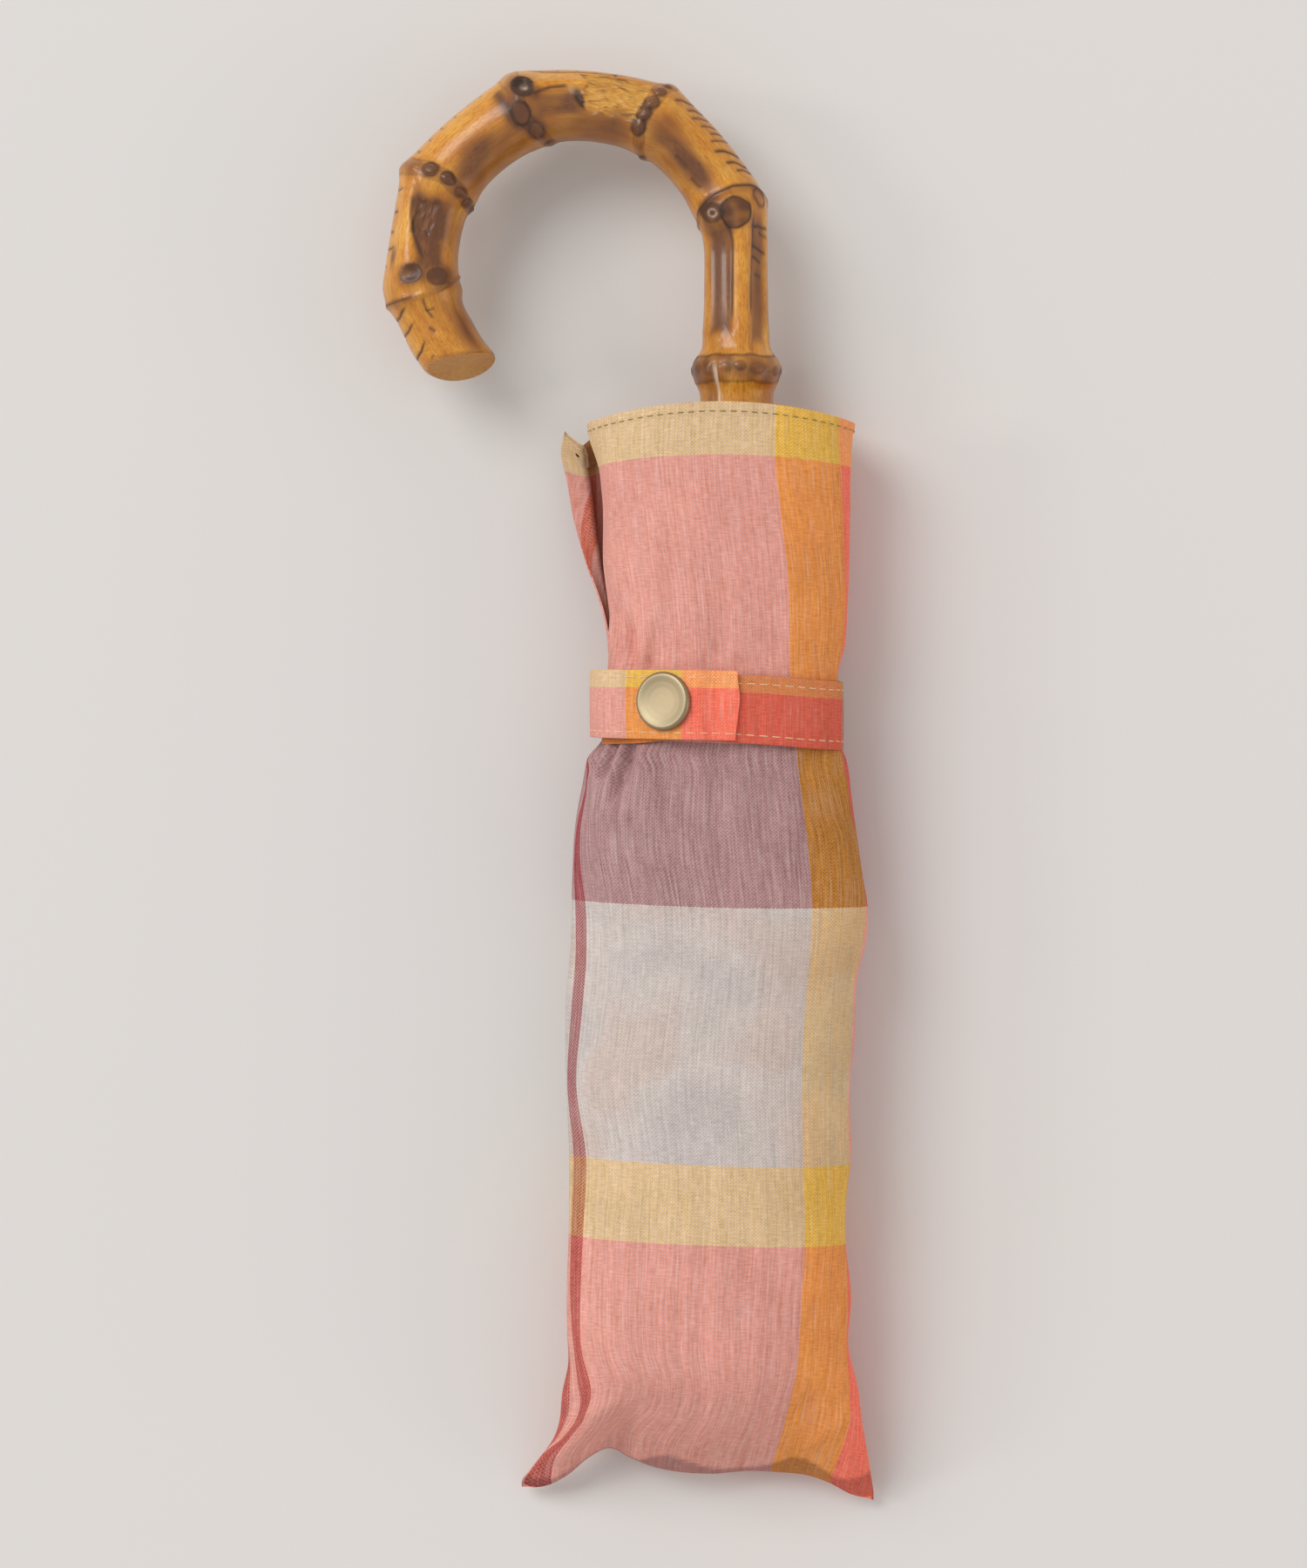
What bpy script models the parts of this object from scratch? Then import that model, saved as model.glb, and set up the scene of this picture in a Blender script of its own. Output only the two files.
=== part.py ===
"""Folding umbrella with a root bamboo crook, lying in its buttoned cloth sleeve.

X runs across the sleeve, Y along the shaft towards the handle, and Z up from the table.
The origin is on the table, under the flat underside of the sleeve.
"""

import math

import bmesh
import bpy
from mathutils import Matrix, Vector

# Driving dimensions, in metres and degrees.
CLEARANCE = 0.0003            # between pieces that touch or run on each other
SEAM_Y = -0.135               # bottom seam of the sleeve

# Sleeve of woven cotton, open at the handle end.
SLEEVE_LENGTH = 0.276
SLEEVE_WALL = 0.0010
SLEEVE_SQUARENESS = 2.2       # 2 is an ellipse, more is boxier
SLEEVE_RING_POINTS = 28
EAR_DROP = 0.0062             # how far the seam's corners hang below its middle
EAR_POINTEDNESS = 6
SLIT_WIDTH = 0.0016
SLIT_END_GAP = 0.0025         # cloth left between the slit and the strap
SLIT_REACH = 0.016            # depth of the slit's cut, past the left edge and into the sleeve

# Strap with a press snap.
STRAP_DROP = 0.0675           # mouth of the sleeve to the strap's upper edge
STRAP_WIDTH = 0.0185
STRAP_THICKNESS = 0.0009
STRAP_CROWN_GAP = 0.0010      # room for the stud's flange under the front of the strap
STRAP_LAYER_GAP = 0.0016      # room for the closed snap between the two layers
STRAP_LOWER_START = 165       # degrees round the section, from the right edge over the front
STRAP_LOWER_END = -164
FLAP_FREE_END = 81
FLAP_ROOT = 200
STRAP_STEP = 6
SNAP_X = -0.0185
SNAP_RADIUS = 0.0075
SNAP_CAP_HEIGHT = 0.0015
SNAP_DISH = 0.0005            # how far the cap's middle lies below its rim
SNAP_RIM_WIDTH = 0.0012
SNAP_POST_RADIUS = 0.0012
SNAP_STUD_RADIUS = 0.0017
SNAP_FLANGE_RADIUS = 0.0038
SNAP_FLANGE_THICKNESS = 0.0004
SNAP_SOCKET_THICKNESS = 0.0009

# Bamboo crook.
HANDLE_RADIUS = 0.0084
HANDLE_FOOT_RADIUS = 0.0090   # where it goes into the collar
HANDLE_LEG = 0.0506           # foot of the handle to the start of the crook
CROOK_RADIUS = 0.0414
CROOK_SWEEP = 222
CROOK_NODES = (18, 61, 109, 153, 188)
CROOK_FLATTENING = 0.0011     # how far the stretch between two nodes lies inside the arc
NODE_SWELL = 0.0013
NODE_WIDTH = 0.0022
RING_ABOVE_FOOT = 0.0223
RING_SWELL = 0.0023
CUT_END_TILT = 20             # the sawn end leans towards the viewer
HANDLE_BORE_DEPTH = 0.022
HANDLE_POINT_STEP = 0.0040

# Telescopic shaft.
TUBE_WALL = 0.0006
UPPER_TUBE_RADIUS = 0.0045
LOWER_TUBE_RADIUS = 0.0036
TUBE_PAST_RUNNER = 0.0010
COLLAR_BASE = 0.0100          # solid length of the collar below the handle's foot
COLLAR_CUP = 0.0045           # length of the collar that goes round the handle's foot
COLLAR_WALL = 0.0008
COLLAR_GAP = 0.0007           # between the collar and the end of the upper tube
CATCH_RADIUS = 0.0014
CATCH_FROM_TUBE_END = 0.0080
SHAFT_CATCH_HEIGHT = 0.0020
RUNNER_CATCH_PROUD = 0.0014
SHAFT_TRAVEL = 0.140

# Top of the frame.
TIP_GAP = 0.0140              # seam to the end of the ferrule
RIB_TIP_GAP = 0.0215          # seam to the ends of the folded ribs, at the least
FERRULE_LENGTH = 0.0110
FERRULE_RADIUS = 0.0036
NOTCH_LENGTH = 0.0080
NOTCH_RADIUS = 0.0086
NOTCH_FLOOR = 0.0051          # bottom of the slots that hold the rib eyes
WIRE_RADIUS = 0.0004
WIRE_GROOVE = 0.0014

# Ribs, in the plane that holds the shaft and the rib.
RIB_COUNT = 6
FIRST_RIB_ANGLE = 30
RIB_RADIUS = 0.0070           # distance of the rib hinges from the shaft axis
MEMBER_WIDTH = 0.0020         # across a rib's eyes and lugs
BAR_WIDTH = 0.0017            # across its fluted bar
MEMBER_HEIGHT = 0.0020
MEMBER_OFFSET = 0.0013        # the inner rib lies this far to one side, the stretcher to the other
MEMBER_BEVEL = 0.0003
FLUTE_WIDTH = 0.0010
FLUTE_DEPTH = 0.0012
INNER_RIB_LENGTH = 0.220
STRETCHER_LENGTH = 0.103      # also the distance of its pivot from the rib hinge
OUTER_RIB_LENGTH = 0.208
OUTER_RIB_LIFT = 0.0032       # folded outer rib above the inner rib
OUTER_WIRE_RADIUS = 0.0009
EYE_RADIUS = 0.0012
HINGE_EYE_RADIUS = 0.0015
HINGE_HOLE_RADIUS = 0.0007
LUG_RADIUS = 0.0015
RIB_TIP_LENGTH = 0.0050
RIB_TIP_RADIUS = 0.0015
RIB_OPEN_ANGLE = 78

# Runner that pushes the stretchers open.
RUNNER_CROWN = 0.0040         # half the length of the slotted crown
RUNNER_RADIUS = 0.0086
RUNNER_WALL = 0.0007
RUNNER_TAIL = 0.0160          # stretcher pivots to the runner's lower end

# Gathered canopy, one fold over each rib.
FOLD_START = 0.0125           # from the notch
FOLD_END = 0.0040             # before the runner's crown
FOLD_SIDE_GAP = 0.0004
FOLD_SECTOR_GAP = 0.0003
FOLD_INNER = 0.0076           # distance of the folds' inner edges from the shaft axis
FOLD_OUTER_POINTS = 7
BUNDLE_SIDE_GAP = 0.0008      # between the folded canopy and the sleeve's narrowest place
BUNDLE_SQUARENESS = 2.1

# Facets.
ROUND_STEPS = 24
SMALL_STEPS = 14
HANDLE_BEVEL_RESOLUTION = 6

# Places worked out from the driving dimensions.
MOUTH_Y = SEAM_Y + SLEEVE_LENGTH
STRAP_TOP_Y = MOUTH_Y - STRAP_DROP
STRAP_MID_Y = STRAP_TOP_Y - STRAP_WIDTH / 2
RIB_OVERHANG = OUTER_RIB_LENGTH + RIB_TIP_LENGTH + CLEARANCE - INNER_RIB_LENGTH
HINGE_Y = SEAM_Y + max(TIP_GAP + FERRULE_LENGTH + NOTCH_LENGTH / 2, RIB_TIP_GAP + RIB_OVERHANG)
NOTCH_Y = HINGE_Y - NOTCH_LENGTH / 2
FERRULE_END_Y = NOTCH_Y - FERRULE_LENGTH
ELBOW_END_Y = HINGE_Y + INNER_RIB_LENGTH + LUG_RADIUS
RUNNER_Y = HINGE_Y + 2 * STRETCHER_LENGTH
RUNNER_TRAVEL = 2 * STRETCHER_LENGTH * (1 - math.cos(math.radians(RIB_OPEN_ANGLE)))
UPPER_TUBE_END_Y = max(RUNNER_Y + RUNNER_TAIL, ELBOW_END_Y) + TUBE_PAST_RUNNER
COLLAR_Y = UPPER_TUBE_END_Y + COLLAR_GAP
HANDLE_END_Y = COLLAR_Y + COLLAR_BASE + CLEARANCE
CROOK_Y = HANDLE_END_Y + HANDLE_LEG
RUNNER_CATCH_Y = RUNNER_Y - RUNNER_TRAVEL + RUNNER_TAIL + CATCH_RADIUS + 2 * CLEARANCE
LOWER_TUBE_Y = RUNNER_CATCH_Y + 2 * CATCH_RADIUS
SHAFT_CATCH_Y = LOWER_TUBE_Y + CATCH_FROM_TUBE_END
TUBE_BORE_RADIUS = UPPER_TUBE_RADIUS - TUBE_WALL
SLOT_HALF_WIDTH = MEMBER_OFFSET + MEMBER_WIDTH / 2 + CLEARANCE
STACK_TOP = RIB_RADIUS + OUTER_RIB_LIFT + OUTER_WIRE_RADIUS

# Edges of the sleeve's sections: left, right, underside and top.
# An underside below zero is where the cloth is pressed flat on the table.
NECK_EDGES = (-0.0345, 0.0264, 0.0018, 0.0408)

# From the mouth to the strap, by the share of that way.
UPPER_SECTIONS = (
    (0.00, -0.0383, 0.0299, 0.0010, 0.0408),
    (0.18, -0.0371, 0.0299, -0.0026, 0.0414),
    (0.45, -0.0349, 0.0288, -0.0026, 0.0416),
    (0.77, -0.0326, 0.0277, 0.0006, 0.0412),
)

# From the strap to the taper above the seam, by the share of that way.
LOWER_SECTIONS = (
    (0.08, -0.0398, 0.0293, 0.0004, 0.0416),
    (0.23, -0.0423, 0.0322, -0.0026, 0.0420),
    (0.30, -0.0428, 0.0337, -0.0026, 0.0422),
    (0.47, -0.0439, 0.0308, -0.0026, 0.0422),
    (0.70, -0.0428, 0.0299, -0.0026, 0.0420),
    (0.85, -0.0428, 0.0281, -0.0026, 0.0418),
    (1.00, -0.0434, 0.0286, -0.0024, 0.0412),
)

# The taper, by height above the seam.
SEAM_TAPER = 0.0440
TAPER_SECTIONS = (
    (0.0210, -0.0450, 0.0310, 0.0010, 0.0350),
    (0.0100, -0.0461, 0.0326, 0.0055, 0.0260),
    (0.0035, -0.0495, 0.0342, 0.0100, 0.0190),
    (0.0000, -0.0540, 0.0356, 0.0130, 0.0156),
)


def sleeve_sections():
    """Every section from the mouth to the seam, by its place along the shaft."""
    strap_low = STRAP_TOP_Y - STRAP_WIDTH
    taper_y = SEAM_Y + SEAM_TAPER
    sections = [(MOUTH_Y - share * STRAP_DROP, *edges) for share, *edges in UPPER_SECTIONS]
    sections += [(STRAP_TOP_Y + CLEARANCE, *NECK_EDGES), (strap_low - CLEARANCE, *NECK_EDGES)]
    sections += [(strap_low - share * (strap_low - taper_y), *edges) for share, *edges in LOWER_SECTIONS]
    sections += [(SEAM_Y + height, *edges) for height, *edges in TAPER_SECTIONS]
    return sections


SLEEVE_SECTIONS = sleeve_sections()
SHAFT_HEIGHT = (NECK_EDGES[2] + NECK_EDGES[3]) / 2
BUNDLE_LEFT = max(section[1] for section in SLEEVE_SECTIONS) + SLEEVE_WALL + BUNDLE_SIDE_GAP
BUNDLE_RIGHT = min(section[2] for section in SLEEVE_SECTIONS) - SLEEVE_WALL - BUNDLE_SIDE_GAP
BUNDLE_HALF_HEIGHT = (NECK_EDGES[3] - NECK_EDGES[2]) / 2 - SLEEVE_WALL - CLEARANCE


def clear_scene():
    for old in list(bpy.data.objects):
        bpy.data.objects.remove(old, do_unlink=True)


def new_collection(name):
    collection = bpy.data.collections.new(name)
    bpy.context.scene.collection.children.link(collection)
    return collection


clear_scene()
PARTS = new_collection("folding_umbrella")
CUTTERS = new_collection("cutters")


def finish(name, colour, roughness, metallic):
    made = bpy.data.materials.new(name)
    made.use_nodes = True
    shader = made.node_tree.nodes["Principled BSDF"]
    shader.inputs["Base Color"].default_value = (*colour, 1.0)
    shader.inputs["Roughness"].default_value = roughness
    shader.inputs["Metallic"].default_value = metallic
    return made


def bamboo():
    return finish("lacquered_bamboo", (0.50, 0.26, 0.07), 0.35, 0.0)


def cotton(name, colour):
    return finish(name, colour, 0.90, 0.0)


def steel(name):
    return finish(name, (0.55, 0.56, 0.57), 0.35, 1.0)


def brass(name):
    return finish(name, (0.72, 0.58, 0.34), 0.35, 1.0)


def plastic(name, colour):
    return finish(name, colour, 0.45, 0.0)


def add_part(name, mesh, material, collection=None):
    made = bpy.data.objects.new(name, mesh)
    (collection or PARTS).objects.link(made)
    mesh.materials.clear()
    mesh.materials.append(material)
    return made


def make_cutter(name, mesh):
    made = bpy.data.objects.new(name, mesh)
    CUTTERS.objects.link(made)
    made.hide_render = True
    made.display_type = "WIRE"
    return made


def smooth(mesh, angle=35):
    mesh.shade_smooth()
    mesh.set_sharp_from_angle(angle=math.radians(angle))


def boolean(target, cutter, operation="DIFFERENCE"):
    modifier = target.modifiers.new(cutter.name, "BOOLEAN")
    modifier.operation = operation
    modifier.object = cutter
    modifier.solver = "EXACT"


def baked_mesh(source, name):
    """The mesh that an object's modifiers give, with loose caps welded."""
    bpy.context.view_layer.update()
    graph = bpy.context.evaluated_depsgraph_get()
    mesh = bpy.data.meshes.new_from_object(source.evaluated_get(graph))
    mesh.name = name
    shape = bmesh.new()
    shape.from_mesh(mesh)
    bmesh.ops.remove_doubles(shape, verts=shape.verts, dist=CLEARANCE / 100)
    shape.to_mesh(mesh)
    shape.free()
    return mesh


def mesh_from(shape, name):
    bmesh.ops.recalc_face_normals(shape, faces=shape.faces)
    mesh = bpy.data.meshes.new(name)
    shape.to_mesh(mesh)
    shape.free()
    return mesh


def box_mesh(name, low, high):
    low = Vector(low)
    high = Vector(high)
    shape = bmesh.new()
    place = Matrix.Translation((low + high) / 2) @ Matrix.Diagonal((*(high - low), 1.0))
    bmesh.ops.create_cube(shape, size=1.0, matrix=place)
    return mesh_from(shape, name)


def rod_mesh(name, start, end, radius, steps=SMALL_STEPS):
    """A round rod between two points."""
    start = Vector(start)
    end = Vector(end)
    turn = (end - start).to_track_quat("Z", "Y").to_matrix().to_4x4()
    shape = bmesh.new()
    bmesh.ops.create_cone(
        shape,
        cap_ends=True,
        segments=steps,
        radius1=radius,
        radius2=radius,
        depth=(end - start).length,
        matrix=Matrix.Translation((start + end) / 2) @ turn,
    )
    return mesh_from(shape, name)


def turned(name, profile, material, steps=ROUND_STEPS, closed=False):
    """A turned piece about its own Z, from (radius, height) points that run down the outer side."""
    mesh = bpy.data.meshes.new(name)
    points = [(radius, 0.0, height) for radius, height in profile]
    edges = [(index, index + 1) for index in range(len(points) - 1)]
    if closed:
        edges.append((len(points) - 1, 0))
    mesh.from_pydata(points, edges, [])
    made = add_part(name, mesh, material)
    screw = made.modifiers.new("turn", "SCREW")
    screw.steps = steps
    screw.render_steps = steps
    screw.use_merge_vertices = True
    screw.merge_threshold = 0.0001
    screw.use_smooth_shade = True
    return made


def lay_along_shaft(made, y):
    """Turns a piece's own Z along the shaft and sets its base at y."""
    made.location = (0.0, y, SHAFT_HEIGHT)
    made.rotation_euler = (-math.pi / 2, 0.0, 0.0)


def tube(name, outer, inner, start_y, end_y, material):
    length = end_y - start_y
    profile = ((outer, length), (outer, 0.0), (inner, 0.0), (inner, length))
    made = turned(name, profile, material, closed=True)
    lay_along_shaft(made, start_y)
    return made


def section_point(section, degrees, squareness):
    """A point on a rounded section: 0 is its right edge, 90 its top."""
    left, right, bottom, top = section
    angle = math.radians(degrees)
    across = math.copysign(abs(math.cos(angle)) ** (2 / squareness), math.cos(angle))
    up = math.copysign(abs(math.sin(angle)) ** (2 / squareness), math.sin(angle))
    x = (left + right) / 2 + (right - left) / 2 * across
    z = (bottom + top) / 2 + (top - bottom) / 2 * up
    return x, z


def loft(name, rings):
    """A closed solid through rings of as many points each, capped at both ends."""
    shape = bmesh.new()
    loops = [[shape.verts.new(point) for point in ring] for ring in rings]
    count = len(loops[0])
    for first, second in zip(loops, loops[1:]):
        for index in range(count):
            following = (index + 1) % count
            shape.faces.new((first[index], first[following], second[following], second[index]))
    shape.faces.new(loops[0])
    shape.faces.new(loops[-1])
    return mesh_from(shape, name)


def sleeve_ring(section, inset, floor):
    y, left, right, bottom, top = section
    shrunk = (left + inset, right - inset, bottom + inset, top - inset)
    at_seam = y <= SEAM_Y
    ring = []
    for index in range(SLEEVE_RING_POINTS):
        degrees = 360 * index / SLEEVE_RING_POINTS
        x, z = section_point(shrunk, degrees, SLEEVE_SQUARENESS)
        from_middle = abs(2 * x - left - right) / (right - left)
        ear = EAR_DROP * from_middle ** EAR_POINTEDNESS if at_seam else 0.0
        ring.append((x, y - ear, max(z, floor)))
    return ring


def build_sleeve():
    outer = [sleeve_ring(section, 0.0, 0.0) for section in SLEEVE_SECTIONS]
    made = add_part("sleeve", loft("sleeve", outer), cotton("checked_cotton", (0.72, 0.36, 0.30)))
    inner = [sleeve_ring(section, SLEEVE_WALL, SLEEVE_WALL) for section in SLEEVE_SECTIONS[:-1]]
    past_mouth = [(x, y + SLIT_REACH, z) for x, y, z in inner[0]]
    boolean(made, make_cutter("sleeve_inside", loft("sleeve_inside", [past_mouth] + inner)))
    left = min(section[1] for section in UPPER_SECTIONS)
    slit_low = (left - SLIT_REACH, STRAP_TOP_Y + SLIT_END_GAP, SHAFT_HEIGHT - SLIT_WIDTH / 2)
    slit_high = (left + SLIT_REACH, MOUTH_Y + SLIT_REACH, SHAFT_HEIGHT + SLIT_WIDTH / 2)
    boolean(made, make_cutter("sleeve_slit", box_mesh("sleeve_slit", slit_low, slit_high)))


def strap_band(name, section, start, end, material):
    """A band of cloth outside a section, between two places round it."""
    steps = math.ceil(abs(end - start) / STRAP_STEP)
    shape = bmesh.new()
    rows = []
    for index in range(steps + 1):
        degrees = start + (end - start) * index / steps
        x, z = section_point(section, degrees, SLEEVE_SQUARENESS)
        low = shape.verts.new((x, STRAP_TOP_Y - STRAP_WIDTH, z))
        high = shape.verts.new((x, STRAP_TOP_Y, z))
        rows.append((low, high))
    for (low, high), (next_low, next_high) in zip(rows, rows[1:]):
        shape.faces.new((low, high, next_high, next_low))
    mesh = bpy.data.meshes.new(name)
    shape.to_mesh(mesh)
    shape.free()
    made = add_part(name, mesh, material)
    thick = made.modifiers.new("thickness", "SOLIDIFY")
    thick.thickness = STRAP_THICKNESS
    thick.offset = 1.0
    return made


def lower_band_section():
    left, right, bottom, top = NECK_EDGES
    return (left - CLEARANCE, right + CLEARANCE, bottom - CLEARANCE, top + STRAP_CROWN_GAP)


def flap_section():
    left, right, bottom, top = lower_band_section()
    beside = STRAP_THICKNESS + CLEARANCE
    above = STRAP_THICKNESS + STRAP_LAYER_GAP
    return (left - beside, right + beside, bottom - beside, top + above)


def front_place(section, x):
    """The point on the front of a section at x, and the section's lean there."""
    left, right, bottom, top = section
    across = (2 * x - left - right) / (right - left)
    degrees = 90 - math.degrees(math.asin(math.copysign(abs(across) ** (SLEEVE_SQUARENESS / 2), across)))
    before = Vector(section_point(section, degrees + 1, SLEEVE_SQUARENESS))
    after = Vector(section_point(section, degrees - 1, SLEEVE_SQUARENESS))
    lean = math.atan2(before.y - after.y, after.x - before.x)
    return Vector((x, STRAP_MID_Y, section_point(section, degrees, SLEEVE_SQUARENESS)[1])), lean


def build_strap():
    coral = cotton("strap_cotton", (0.80, 0.20, 0.16))
    orange = cotton("flap_cotton", (0.75, 0.35, 0.20))
    lower = strap_band("strap_under", lower_band_section(), STRAP_LOWER_END, STRAP_LOWER_START, coral)
    flap = strap_band("strap_flap", flap_section(), FLAP_FREE_END, FLAP_ROOT, orange)
    seat, lean = front_place(flap_section(), SNAP_X)
    outward = Vector((math.sin(lean), 0.0, math.cos(lean)))
    hole = SNAP_POST_RADIUS + CLEARANCE
    reach = outward * SNAP_RADIUS
    for band, label in ((lower, "stud_hole"), (flap, "cap_hole")):
        boolean(band, make_cutter(label, rod_mesh(label, seat - reach, seat + reach, hole)))
    snap = build_snap(seat, lean, outward)
    root_x, root_z = section_point(flap_section(), FLAP_ROOT, SLEEVE_SQUARENESS)
    hinge = add_hinge("strap_hinge", (root_x, STRAP_MID_Y, root_z), 0.0)
    bpy.context.view_layer.update()
    for piece in (flap, snap["snap_cap"], snap["snap_socket"]):
        hang(piece, hinge)
        piece.matrix_parent_inverse = hinge.matrix_world.inverted()


def build_snap(seat, lean, outward):
    cap_base = STRAP_THICKNESS + CLEARANCE
    rim_top = cap_base + SNAP_CAP_HEIGHT
    edge = SNAP_CAP_HEIGHT / 3
    cap_profile = (
        (0.0, rim_top - SNAP_DISH),
        (SNAP_RADIUS - 2 * SNAP_RIM_WIDTH, rim_top - SNAP_DISH),
        (SNAP_RADIUS - SNAP_RIM_WIDTH, rim_top),
        (SNAP_RADIUS - edge, rim_top - edge / 2),
        (SNAP_RADIUS, rim_top - 2 * edge),
        (SNAP_RADIUS, cap_base),
        (SNAP_POST_RADIUS, cap_base),
        (SNAP_POST_RADIUS, 0.0),
        (0.0, 0.0),
    )
    socket_top = -CLEARANCE
    socket_bottom = socket_top - SNAP_SOCKET_THICKNESS
    socket_bore = SNAP_STUD_RADIUS + CLEARANCE
    socket_profile = (
        (SNAP_FLANGE_RADIUS, socket_top),
        (SNAP_FLANGE_RADIUS, socket_bottom),
        (socket_bore, socket_bottom),
        (socket_bore, socket_top),
    )
    under_seat = front_place(lower_band_section(), SNAP_X)[0]
    under_depth = (under_seat - seat).dot(outward)
    band_top = under_depth + STRAP_THICKNESS
    stud_top = socket_bottom + SNAP_SOCKET_THICKNESS / 2
    stud_profile = (
        (0.0, stud_top),
        (SNAP_STUD_RADIUS, stud_top),
        (SNAP_POST_RADIUS, band_top + CLEARANCE),
        (SNAP_POST_RADIUS, under_depth - CLEARANCE),
        (SNAP_FLANGE_RADIUS / 2, under_depth - CLEARANCE),
        (SNAP_FLANGE_RADIUS / 2, under_depth - CLEARANCE - SNAP_FLANGE_THICKNESS),
        (0.0, under_depth - CLEARANCE - SNAP_FLANGE_THICKNESS),
    )
    pieces = (
        turned("snap_cap", cap_profile, brass("satin_brass")),
        turned("snap_socket", socket_profile, brass("socket_brass"), closed=True),
        turned("snap_stud", stud_profile, brass("stud_brass")),
    )
    for piece in pieces:
        piece.location = seat
        piece.rotation_euler = (0.0, lean, 0.0)
    return {piece.name: piece for piece in pieces}


def crook_radius(degrees):
    """Radius of the crook's centreline, a little flat between two nodes."""
    marks = (CROOK_NODES[0] - 60, *CROOK_NODES, CROOK_SWEEP + 20)
    for low, high in zip(marks, marks[1:]):
        if degrees <= high:
            along = (degrees - low) / (high - low)
            return CROOK_RADIUS - CROOK_FLATTENING * 4 * along * (1 - along)
    return CROOK_RADIUS


def handle_point(along):
    """A point of the handle's centreline, from its foot along the leg and round the crook."""
    if along <= HANDLE_LEG:
        return Vector((0.0, HANDLE_END_Y + along, SHAFT_HEIGHT))
    angle = (along - HANDLE_LEG) / CROOK_RADIUS
    start = crook_radius(0.0)
    radius = crook_radius(math.degrees(angle))
    return Vector((radius * math.cos(angle) - start, CROOK_Y + radius * math.sin(angle), SHAFT_HEIGHT))


def handle_radius(along, nodes):
    foot = math.exp(-along / HANDLE_LEG) * (HANDLE_FOOT_RADIUS - HANDLE_RADIUS)
    swell = 0.0
    for place, height in nodes:
        swell = max(swell, height * math.exp(-((along - place) / NODE_WIDTH) ** 2))
    return HANDLE_RADIUS + foot + swell


def build_handle():
    length = HANDLE_LEG + math.radians(CROOK_SWEEP) * CROOK_RADIUS
    nodes = [(RING_ABOVE_FOOT, RING_SWELL)]
    nodes += [(HANDLE_LEG + math.radians(angle) * CROOK_RADIUS, NODE_SWELL) for angle in CROOK_NODES]
    stops = {0.0, length, length + HANDLE_RADIUS}
    stops |= {index * HANDLE_POINT_STEP for index in range(1, int(length / HANDLE_POINT_STEP))}
    for place, _ in nodes:
        near = [place + share * NODE_WIDTH for share in (-1.4, -0.7, 0.0, 0.7, 1.4)]
        stops = {stop for stop in stops if not near[0] < stop < near[-1]} | set(near)
    route = bpy.data.curves.new("handle_route", "CURVE")
    route.dimensions = "3D"
    route.bevel_depth = 1.0
    route.bevel_resolution = HANDLE_BEVEL_RESOLUTION
    route.use_fill_caps = True
    spline = route.splines.new("POLY")
    ordered = sorted(stops)
    spline.points.add(len(ordered) - 1)
    for point, along in zip(spline.points, ordered):
        point.co = (*handle_point(along), 1.0)
        point.radius = handle_radius(along, nodes)
    swept = bpy.data.objects.new("handle_route", route)
    CUTTERS.objects.link(swept)
    mesh = baked_mesh(swept, "bamboo_handle")
    bpy.data.objects.remove(swept, do_unlink=True)
    saw_off(mesh, length)
    smooth(mesh)
    made = add_part("bamboo_handle", mesh, bamboo())
    bore_start = (0.0, HANDLE_END_Y - HANDLE_BORE_DEPTH, SHAFT_HEIGHT)
    bore_end = (0.0, HANDLE_END_Y + HANDLE_BORE_DEPTH, SHAFT_HEIGHT)
    bore = rod_mesh("handle_bore", bore_start, bore_end, LOWER_TUBE_RADIUS + CLEARANCE, ROUND_STEPS)
    boolean(made, make_cutter("handle_bore", bore))


def saw_off(mesh, length):
    """Cuts the crook's end flat, leaning towards the viewer."""
    end = handle_point(length)
    ahead = (handle_point(length + HANDLE_POINT_STEP) - end).normalized()
    tilt = math.radians(CUT_END_TILT)
    facing = ahead * math.cos(tilt) + Vector((0.0, 0.0, math.sin(tilt)))
    shape = bmesh.new()
    shape.from_mesh(mesh)
    near = [face for face in shape.faces if (face.calc_center_median() - end).length < CROOK_RADIUS / 2]
    edges = {edge for face in near for edge in face.edges}
    verts = {vert for face in near for vert in face.verts}
    bmesh.ops.bisect_plane(
        shape, geom=[*verts, *edges, *near], plane_co=end, plane_no=facing, clear_outer=True
    )
    bmesh.ops.holes_fill(shape, edges=[edge for edge in shape.edges if edge.is_boundary])
    bmesh.ops.recalc_face_normals(shape, faces=shape.faces)
    shape.to_mesh(mesh)
    shape.free()


def build_shaft():
    upper_steel = steel("upper_tube_steel")
    upper = tube("upper_tube", UPPER_TUBE_RADIUS, TUBE_BORE_RADIUS, NOTCH_Y, UPPER_TUBE_END_Y, upper_steel)
    lower_end = HANDLE_END_Y + HANDLE_BORE_DEPTH - CLEARANCE
    lower = tube(
        "lower_tube",
        LOWER_TUBE_RADIUS,
        LOWER_TUBE_RADIUS - TUBE_WALL,
        LOWER_TUBE_Y,
        lower_end,
        steel("lower_tube_steel"),
    )
    hole = CATCH_RADIUS + CLEARANCE
    window_y = SHAFT_CATCH_Y + SHAFT_TRAVEL
    for target, label, y in (
        (upper, "runner_catch_hole", RUNNER_CATCH_Y),
        (upper, "shaft_catch_window", window_y),
        (lower, "shaft_catch_hole", SHAFT_CATCH_Y),
    ):
        start = (0.0, y, SHAFT_HEIGHT)
        end = (0.0, y, SHAFT_HEIGHT + 2 * UPPER_TUBE_RADIUS)
        boolean(target, make_cutter(label, rod_mesh(label, start, end, hole)))
    build_catches()
    build_collar()


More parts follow.
